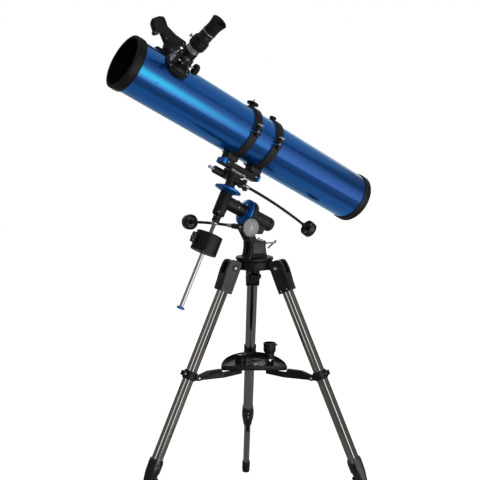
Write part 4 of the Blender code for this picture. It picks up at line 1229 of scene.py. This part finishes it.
def build_tube():
    shell = pipe(TUBE_RADIUS, TUBE_BORE, TUBE_REAR + 12, TUBE_FRONT - 12, 256)
    tube = start("tube_shell", shell, TUBE)
    carve(tube, rod(21, 40, 90, 64), FOCUS)
    done(tube, LACQUER, "declination", node="main_tube", angle=50)
    inside = start("tube_liner", pipe(69.7, 69.2, TUBE_REAR + 12.2, TUBE_FRONT - 12.2, 192), TUBE)
    carve(inside, rod(21.3, 40, 90, 64), FOCUS)
    done(inside, FLAT_BLACK, "declination", angle=50)

    outline = [(66.6, 0), (71.4, 0), (73.2, -0.9), (74, -2.8), (74, -22.6), (73.4, -24.4), (72.4, -25),
               (70.9, -25), (70.9, -11.6), (66, -11.6), (66, -0.8)]
    outline = raised(outline, TUBE_FRONT)
    turning("front_hoop", outline, TUBE, SATIN, "declination", 192, node="front_ring")
    for number in range(6):
        place = turned(TUBE, radians(60 * number - 78), "Z") @ ACROSS_X
        screw_head(f"hoop_screw_{number}", moved(place, x=TUBE_FRONT - 16, z=73.8), "declination", 2.3, 1.1,
                   MOULDED)

    build_rear_cell()
    build_mirrors()


def build_rear_cell():
    outline = [(0, 5), (58, 5), (60, 1.4), (62, 0), (69, 0), (72, 0.8), (73.6, 3), (74, 5), (74, 22),
               (73.4, 23.6), (72.4, 24), (70.9, 24), (70.9, 11.6), (62, 11.6), (62, 20), (0, 20)]
    cell = start("mirror_cell", lathe(raised(outline, TUBE_REAR), 192), TUBE)
    back = moved(TUBE, z=TUBE_REAR) @ UPSIDE_DOWN
    for k in range(3):
        spoke = turned(back, radians(120 * k + 30), "Z")
        join(cell, prism(rounded(40, 15, 7, 8, (34, 0)), -6, -2.8), spoke)
    join(cell, rod(14, -6, -2.8, 64, 0.6), back)
    done(cell, SATIN, "declination", bevel=0.5, node="rear_cell")
    for k in range(3):
        spoke = turned(back, radians(120 * k + 30), "Z")
        outline = [(0, -3), (5, -3), (5.4, -2.4), (5.4, 2.6), (4.6, 3.6), (0, 3.8)]
        turning(f"collimation_knob_{k}", outline, moved(spoke, x=45), SCREW, "declination", 96,
                (16, 0.6, 2, 3))
        screw_head(f"cell_lock_screw_{k}", moved(spoke, x=27, z=-2.8), "declination", 3.0, 1.8)
        side = turned(TUBE, radians(120 * k - 70), "Z") @ ACROSS_X
        screw_head(f"cell_side_screw_{k}", moved(side, x=TUBE_REAR + 14, z=73.8), "declination", 2.3, 1.1,
                   MOULDED)


def build_mirrors():
    rear = TUBE_REAR
    face = rear + 40
    outline = [(0, rear + 24), (56.4, rear + 24), (57, rear + 24.6), (57, face - 0.5), (56.5, face)]
    for step in range(1, 17):
        r = 56.5 * (1 - step / 16)
        outline.append((r, face - 0.8 + 0.8 * (r / 56.5) ** 2))
    turning("main_mirror", outline, TUBE, MIRROR, "declination", 128, node="primary_mirror", angle=20)
    for k in range(3):
        clip = turned(TUBE, radians(120 * k + 10), "Z")
        shape = merged([(block((50, 61.5), (-5, 5), (face + 0.4, face + 1.8)), HERE),
                        (block((57.6, 61.5), (-5, 5), (rear + 20, face + 1.8)), HERE)])
        piece(f"mirror_clip_{k}", shape, clip, MOULDED, "declination", bevel=0.3)
        screw_head(f"mirror_clip_screw_{k}", moved(clip, x=59.4, z=face + 1.8), "declination", 1.7, 0.9)

    hub = FOCUSER + 40
    tilt = turned(moved(TUBE, z=FOCUSER), -FOCUSER_ROLL, "Z")
    flat = turned(tilt, radians(-45), "Y")
    vanes = []
    for k in range(3):
        turn = Matrix.Rotation(radians(120 * k + 60) - FOCUSER_ROLL, 4, "Z")
        vanes.append((block((10, 69), (-0.5, 0.5), (hub - 10, hub + 8)), turn))
        vanes.append((block((64, 69), (-3, 3), (hub - 8, hub + 6)), turn))
    vanes.append((lathe([(0, hub - 14), (11, hub - 14), (12, hub - 13), (12, hub + 11), (11, hub + 12),
                         (0, hub + 12)], 64), HERE))
    piece("spider_vanes", merged(vanes), TUBE, FLAT_BLACK, "declination", node="spider")
    holder = start("diagonal_holder", rod(13, -24, 24, 64, 0.6), tilt)
    carve(holder, block((-60, 60), (-60, 60), (-80, -0.8)), flat)
    done(holder, MOULDED, "declination")
    piece("diagonal_stalk", rod(4, 22, 30, 32), tilt, SCREW, "declination")
    ellipse = ellipse_arc(0, 19, 13.6, 0, 360, 72)[:-1]
    piece("diagonal_flat", prism(ellipse, -5.6, -0.9), flat, MIRROR, "declination", bevel=0.3,
          node="secondary_mirror")
    for k in range(3):
        a = radians(120 * k)
        screw_head(f"diagonal_screw_{k}", moved(TUBE, 7 * cos(a), 7 * sin(a), hub + 12), "declination",
                   1.8, 1.2)
        side = turned(TUBE, radians(120 * k + 60) - FOCUSER_ROLL, "Z") @ ACROSS_X
        screw_head(f"vane_screw_{k}", moved(side, x=hub - 1, z=70.5), "declination", 2.2, 0.8, LACQUER)
    centre = moved(tilt, z=30)
    piece("diagonal_bolt", rod(2.2, 30, 33.6, 24, 0.4), centre, SCREW, "declination")


# ---------------------------------------------------------------- focuser

def build_focuser():
    flange = [(0, 60), (36, 60), (37, 60.8), (37, 74.8), (36, 76), (33, 76.4), (0, 76.4)]
    body = start("focuser_casting", lathe(flange, 112), FOCUS)
    cone = [(0, 70), (31, 70), (29.5, 76), (25.4, 82), (24.2, 86), (23.2, 108), (22, 111), (20.6, 112),
            (0, 112)]
    join(body, lathe(cone, 96), FOCUS)
    join(body, prism(rounded(25, 22, 4, 5, (0, 17.6)), 89, 111.4), FOCUS)
    join(body, rod(6.2, -15, 15, 48, 1.0), PINION)
    carve(body, rod(TUBE_RADIUS + 0.35, -60, 60, 192), FOCUS @ ALONG_X)
    carve(body, rod(19.6, 20, 130, 64), FOCUS)
    carve(body, rod(2.7, -40, 40, 32), PINION)
    done(body, SATIN, "declination", bevel=1.1, segments=3, node="focuser_body")
    for number, a in enumerate((38, 142, 218, 322)):
        r = 31.5
        place = moved(FOCUS, r * cos(radians(a)), r * sin(radians(a)), 76)
        screw_head(f"focuser_flange_screw_{number}", place, "declination", 3.4, 1.8, CHROME)
    for number, x in enumerate((-9, 9)):
        screw = moved(FOCUS, x, 28.6, 102) @ ALONG_Y
        screw_head(f"rack_cover_screw_{number}", screw, "declination", 2.2, 1.2)
    tension = moved(FOCUS, z=100) @ turn_to((0.5, -0.87, 0), (0, 0, 1))
    thumb_screw("focus_tension_screw", moved(tension, z=19.8), "declination", 3.6, 4.0, 4.5)

    draw = [(16.2, 72), (18.6, 72), (19, 72.5), (19, 147.6), (16.2, 147.6)]
    turning("chrome_drawtube", draw, FOCUS, CHROME, "draw", 96, node="drawtube")
    band = [(19.02, 117), (19.35, 117.4), (19.35, 133), (19.02, 133.4)]
    turning("drawtube_band", band, FOCUS, MOULDED, "draw", 96)
    collar = [(16.1, 147.7), (20.4, 147.7), (22.4, 149), (23, 151), (23, 164), (22.4, 165.4), (22.4, 170),
              (21.4, 173), (20.6, 174), (16.1, 174)]
    turning("eyepiece_collar", collar, FOCUS, MOULDED, "draw", 96)
    for number, a in enumerate((215, 335)):
        place = turned(moved(FOCUS, z=160), radians(a), "Z") @ ACROSS_X
        thumb_screw(f"collar_screw_{number + 4}", moved(place, z=17), "draw", 4.6, 8.6, 5)
    rack = []
    for step in range(30):
        z = 84 + step * 1.9
        rack.append((block((-3, 3), (17.9, 19.2), (z, z + 1.0)), HERE))
    piece("focus_rack", merged(rack), FOCUS, SCREW, "draw")

    axle = start("focus_axle", rod(2.4, -37, 37, 32, 0.3), PINION)
    done(axle, SCREW, "focus_control", node="focuser_knobs")
    for name, turn in (("front", 0), ("rear", pi)):
        place = turned(PINION, turn, "X")
        outline = [(0, 26), (11.6, 26), (13.6, 26.8), (14.5, 28.4), (14.5, 35.8), (13.6, 37.4), (12.2, 38),
                   (10.6, 37.4), (10, 36), (0, 36)]
        turning(f"focus_wheel_{name}", outline, place, MOULDED, "focus_control", 160, (20, 1.1, 2, 3, 4, 5))
        face = [(0, 35.9), (9.8, 35.9), (9.9, 37.2), (8.8, 37.6), (7.8, 37), (4.8, 37), (4.2, 37.8),
                (0, 37.9)]
        finish = CHROME if name == "front" else GLOSS
        turning(f"focus_face_{name}", face, place, finish, "focus_control")
        if name == "front":
            trim = [(10.1, 36.9), (12.4, 37.8), (13.4, 37.7), (13.9, 38.3), (12, 38.6), (10.1, 38)]
            turning("focus_trim", trim, place, CHROME, "focus_control", 96)
    build_eyepiece()


def build_eyepiece():
    barrel = [(0, 150.2), (15.2, 150.2), (15.8, 150.9), (15.8, 174.3), (0, 174.3)]
    turning("eyepiece_barrel", barrel, FOCUS, CHROME, "ocular", 80, node="eyepiece")
    body = [(0, 174.4), (17.4, 174.4), (18.2, 175.2), (18.2, 191), (17.6, 192), (18.2, 193), (18.4, 199.4),
            (0, 199.4)]
    turning("eyepiece_body", body, FOCUS, GLOSS, "ocular", 80)
    ring = [(16, 199.4), (18.5, 199.4), (18.9, 200), (18.9, 202), (18.5, 202.6), (16, 202.6)]
    turning("eyepiece_ring", ring, FOCUS, CHROME, "ocular", 96)
    top = [(0, 202.6), (17.4, 202.6), (18, 203.4), (17.6, 207), (17.6, 219), (17.2, 221.4), (15.4, 222.4),
           (13.5, 222), (12.4, 220), (0, 220)]
    turning("eyepiece_grip", top, FOCUS, MOULDED, "ocular", 160, (40, 0.35, 3, 4))
    cup = [(15.6, 220), (17.7, 220), (18.2, 224), (19, 230), (20.2, 236), (21.2, 238.6), (20.6, 240),
           (19.3, 239.6), (18.4, 236), (17, 230), (15.4, 224)]
    turning("eyepiece_cup", cup, FOCUS, RUBBER, "ocular", 96)
    glass = [(0, 220), (12.2, 220), (9.6, 221.4), (5, 222.2), (0, 222.6)]
    turning("eyepiece_lens", glass, FOCUS, GLASS, "ocular")


# ---------------------------------------------------------------- finder

def build_finder():
    """The red-dot finder: its shoe, its stepped body and the hood with its window."""
    side = TUBE @ turn_to((0, 1, 0), (0, 0, 1))            # x forwards, y away from the tube
    shoe = start("finder_shoe", block((71, 76), (-15, 15), (500, 560)), TUBE)
    carve(shoe, rod(TUBE_RADIUS + 0.4, 480, 600, 128), TUBE)
    join(shoe, prism([(-11, 75.4), (-8, 80.6), (8, 80.6), (11, 75.4)], -556, -504),
         TUBE @ turn_to((0, 0, -1), (0, 1, 0)))
    done(shoe, SATIN, "declination", bevel=0.8)
    for x in (506, 554):
        for y in (-11.5, 11.5):
            place = moved(TUBE, y=y, z=x) @ ACROSS_X
            screw_head(f"shoe_screw_{x}_{y > 0:d}", moved(place, z=75.8), "declination", 1.7, 0.9)

    leg = [(501, 104), (501, 85), (504, 81), (531, 81), (536, 86), (538, 100), (530, 108), (506, 108)]
    finder = start("finder_body", prism(leg, -9, 9), side)
    body = [(487, 125), (488, 118), (497, 112), (512, 98.5), (529, 98.5), (538, 101), (552, 112.5),
            (559, 117), (566, 113), (572, 111.5), (578, 112.5), (590, 124), (592, 128), (592, 138),
            (556, 139.4), (523, 131.5), (490, 130.2)]
    join(finder, prism(body, -11, 11), side)
    hood = [(566, 118), (576, 112.6), (580, 114), (591, 126), (592.6, 130), (592.6, 141), (586, 149.6),
            (576, 154), (572, 153.4), (566, 149.4), (556, 140), (552, 134)]
    join(finder, prism(hood, -12.5, 12.5), side)
    shade = turned(moved(side, 586, 138), HOOD_LEAN, "Z")
    bore = shade @ ALONG_X
    carve(finder, prism(rounded(18, 17, 6, 8), -4, 40), bore)
    carve(finder, prism(rounded(13, 12, 4, 6), -16, 0), bore)
    sight = turned(moved(side, 560, 141), HOOD_LEAN, "Z")
    carve(finder, prism(rounded(12, 9, 3, 6), -20, 20), sight @ ALONG_X)
    panel = [(497, 119), (513, 103.5), (536, 105), (548, 115), (553, 122), (540, 126), (500, 124.5)]
    both_sides(carve, finder, prism, panel, 9.2, 14, side)
    done(finder, MOULDED, "declination", bevel=1.2, segments=3, node="finder")
    glass = ellipse_arc(0, 8.2, 7.6, 0, 360, 48)[:-1]
    piece("finder_window", prism(glass, 0.6, 1.8), bore, RED_GLASS, "declination")
    knob_place = moved(side, x=574, y=109)
    knob = [(0, -9), (5.4, -9), (6.2, -8.2), (6.2, 8.2), (5.4, 9), (0, 9)]
    turning("finder_dimmer", knob, knob_place, GREY_PLASTIC, "declination", 120, (20, 0.6, 2, 3))
    for number, (x, y) in enumerate(((562, 126), (544, 109), (495, 122.5), (517, 91))):
        for face, turn in (("near", pi), ("far", 0)):
            place = turned(moved(side, x, y), turn, "X")
            depth = 10.8 if number != 3 else 8.8
            screw_head(f"finder_screw_{face}_{number}", moved(place, z=depth), "declination", 2.0, 1.2)
    tilt_wheel = [(0, -4), (6, -4), (6.8, -3), (6.8, 2.6), (6, 3.4), (0, 3.4)]
    dial = moved(side, 498, 106) @ turn_to((-0.7, -0.7, 0), (0, 0, 1))
    turning("finder_tilt_wheel", tilt_wheel, dial, MOULDED, "declination", 96, (16, 0.6, 2, 3))
    pan_wheel = [(0, -3), (6, -3), (6.6, -2.2), (6.6, 1.2), (5.8, 2), (0, 2)]
    rear = moved(side, 485.6, 122) @ BACK_X
    turning("finder_pan_wheel", pan_wheel, rear, MOULDED, "declination", 96, (16, 0.6, 2, 3))


# ---------------------------------------------------------------- the whole

def build_object():
    build_hub()
    for number in (1, 2, 3):
        build_leg(number)
    build_spreader()
    build_base()
    build_polar_housing()
    build_declination()
    build_dec_head()
    build_counterweight()
    build_saddle_bar()
    build_rings()
    build_tube()
    build_focuser()
    build_finder()


# ---------------------------------------------------------------- studio

LEG_PIECES = [f"{part}_{number}" for part in ("outer_leg", "inner_leg") for number in (1, 2, 3)]
WHITE = (1, 1, 1)
SKY_BLUE = (0.25, 0.9, 1.0)
# Brightness round the object, from straight down to straight up
SURROUNDINGS = [(0.0, 0.22), (0.45, 0.16), (0.5, 0.1), (0.6, 0.12), (0.8, 0.2), (1.0, 0.28)]
FLOOR = 9.0                    # metres from the middle to a side
FLOOR_LEVEL = -0.001
FLOOR_GLOW = 0.97              # what the camera sees of the floor, over its own shade


def around_tube(angle, distance, along):
    """A point off the tube's middle, with its angle measured from the top towards -Y."""
    a = radians(angle)
    middle = moved(TUBE, z=160).translation
    return (middle + (DECLINATION * cos(a) - Vector((0, sin(a), 0))) * distance + POLAR * along)


def area_light(name, frame, size, energy, colour=WHITE, fade=None, glow=0.0, only=(), never=()):
    """A soft light shining down its frame's -z.

    It may fade along its height, or glow from its middle, and light some pieces only.
    """
    data = bpy.data.lights.new(name, "AREA")
    data.shape = "RECTANGLE"
    data.size, data.size_y = size
    data.energy = energy
    data.color = colour
    if fade or glow:
        data.use_nodes = True
        tree = data.node_tree
        geometry = tree.nodes.new("ShaderNodeNewGeometry")
        ramp = tree.nodes.new("ShaderNodeMapRange")
        if fade:
            source = tree.nodes.new("ShaderNodeSeparateXYZ")
            tree.links.new(geometry.outputs["Parametric"], source.inputs["Vector"])
            tree.links.new(source.outputs["Y"], ramp.inputs["Value"])
            ramp.inputs["To Min"].default_value = fade[0]
            ramp.inputs["To Max"].default_value = fade[1]
        else:
            source = tree.nodes.new("ShaderNodeVectorMath")
            source.operation = "DISTANCE"
            source.inputs[1].default_value = (0.5, 0.5, 0.0)
            tree.links.new(geometry.outputs["Parametric"], source.inputs[0])
            tree.links.new(source.outputs["Value"], ramp.inputs["Value"])
            ramp.interpolation_type = "SMOOTHSTEP"
            ramp.inputs["From Max"].default_value = 0.5
            ramp.inputs["To Min"].default_value = glow
            ramp.inputs["To Max"].default_value = 0.0
        tree.links.new(ramp.outputs["Result"], tree.nodes["Emission"].inputs["Strength"])
    lamp = bpy.data.objects.new(name, data)
    lamp.matrix_world = frame
    lamp.visible_camera = False
    bpy.context.scene.collection.objects.link(lamp)
    if only or never:
        group = bpy.data.collections.new(f"{name}_linking")
        for thing in only or never:
            group.objects.link(bpy.data.objects[thing])
        for link in group.collection_objects:
            link.light_linking.link_state = "INCLUDE" if only else "EXCLUDE"
        lamp.light_linking.receiver_collection = group
    return lamp


def build_studio():
    """A white surround and floor, a softbox beside the tube, a panel behind and small fills."""
    world = bpy.data.worlds.new("studio")
    world.use_nodes = True
    tree = world.node_tree
    background = tree.nodes["Background"]
    seen = tree.nodes.new("ShaderNodeLightPath")
    around = tree.nodes.new("ShaderNodeTexCoord")
    split = tree.nodes.new("ShaderNodeSeparateXYZ")
    ramp = tree.nodes.new("ShaderNodeValToRGB")
    choose = tree.nodes.new("ShaderNodeMix")
    stretch = tree.nodes.new("ShaderNodeMapRange")
    choose.data_type = "RGBA"
    stretch.inputs["From Min"].default_value = -1
    set_stops(ramp, [(place, (grey, grey, grey)) for place, grey in SURROUNDINGS])
    tree.links.new(around.outputs["Generated"], split.inputs["Vector"])
    tree.links.new(split.outputs["Z"], stretch.inputs["Value"])
    tree.links.new(stretch.outputs["Result"], ramp.inputs["Fac"])
    tree.links.new(seen.outputs["Is Camera Ray"], choose.inputs["Factor"])
    tree.links.new(ramp.outputs["Color"], choose.inputs[6])
    choose.inputs[7].default_value = (*WHITE, 1)
    tree.links.new(choose.outputs[2], background.inputs["Color"])
    bpy.context.scene.world = world
    bpy.context.scene.view_settings.view_transform = "Standard"

    mesh = bpy.data.meshes.new("floor")
    corners = [(x * FLOOR, y * FLOOR, FLOOR_LEVEL) for x, y in ((-1, -1), (1, -1), (1, 1), (-1, 1))]
    mesh.from_pydata(corners, [], [(0, 1, 2, 3)])
    floor = bpy.data.objects.new("floor", mesh)
    bpy.context.scene.collection.objects.link(floor)
    look = Look("studio_floor", (0.4, 0.4, 0.4), 0.9,
                tint=((0.0, (0.39, 0.39, 0.39)), (1.0, (0.41, 0.41, 0.41)), 3.0, 2.0))
    lift = look.node("ShaderNodeMath")
    lift.operation = "MULTIPLY"
    lift.inputs[1].default_value = FLOOR_GLOW
    seen = look.nodes.new("ShaderNodeLightPath")
    look.shader.inputs["Emission Color"].default_value = (*WHITE, 1)
    look.links.new(seen.outputs["Is Camera Ray"], lift.inputs[0])
    look.links.new(lift.outputs["Value"], look.shader.inputs["Emission Strength"])
    mesh.materials.append(look.material)

    beside = axes(around_tube(94, 1.6, -1.05), (0, -1, 0), -POLAR)
    area_light("long_softbox", beside, (3.2, 2.5), 20, fade=(2.1, 0.2), never=LEG_PIECES)
    behind = axes(TUBE.translation + Vector((1.5, 2.3, -0.1)), (0.55, 0.83, 0), (0.83, -0.55, 0))
    area_light("back_panel", behind, (4.0, 3.0), 30, never=LEG_PIECES)
    tube = ("tube_shell",)
    near = axes(around_tube(101, 1.6, -0.12), (0, -1, 0), -POLAR)
    area_light("front_glow", near, (1.7, 1.5), 20, (0.05, 1.0, 0.36), glow=2.0, only=tube)
    above = axes(around_tube(0, 1.5, -0.1), DECLINATION, POLAR)
    area_light("tube_fill_above", above, (2.6, 3.5), 12, SKY_BLUE, only=tube)
    below = axes((0.1, 0.75, 0.03), (0, 0, -1), (1, 0, 0))
    area_light("tube_fill_below", below, (2.8, 2.4), 8, SKY_BLUE, only=tube)
    for number, (angle, energy) in enumerate(((24, 7.0), (-42, 6.0))):
        turn = radians(angle)
        away = Vector((-0.551 * cos(turn) + 0.834 * sin(turn), -0.834 * cos(turn) - 0.551 * sin(turn), 0))
        place = axes(away * 2.6 + Vector((0, 0, 0.9)), away, away.cross(Vector((0, 0, 1))))
        area_light(f"leg_strip_{number}", place, (0.55, 2.4), energy, only=LEG_PIECES)


# The camera, fitted to the photograph's straight edges
FOCAL_LENGTH = 62.99
SENSOR_WIDTH = 36
CAMERA_PLACE = (-1.34363, -1.95901, 0.37998)           # in metres, from the mount's base
CAMERA_AIM = (0.5479, 0.8296, -0.1077)
CAMERA_ROLL = 0.00754


def build_camera():
    data = bpy.data.cameras.new("camera")
    data.lens = FOCAL_LENGTH
    data.sensor_width = SENSOR_WIDTH
    data.clip_end = 50
    camera = bpy.data.objects.new("camera", data)
    forward = Vector(CAMERA_AIM).normalized()
    right = forward.cross(Vector((0, 0, 1))).normalized()
    up = right.cross(forward)
    side = right * cos(CAMERA_ROLL) + up * sin(CAMERA_ROLL)
    top = up * cos(CAMERA_ROLL) - right * sin(CAMERA_ROLL)
    place = Matrix((side, top, -forward)).transposed().to_4x4()
    place.translation = BASE.translation + Vector(CAMERA_PLACE)
    camera.matrix_world = place
    bpy.context.scene.collection.objects.link(camera)
    bpy.context.scene.camera = camera


build_object()
build_studio()
build_camera()
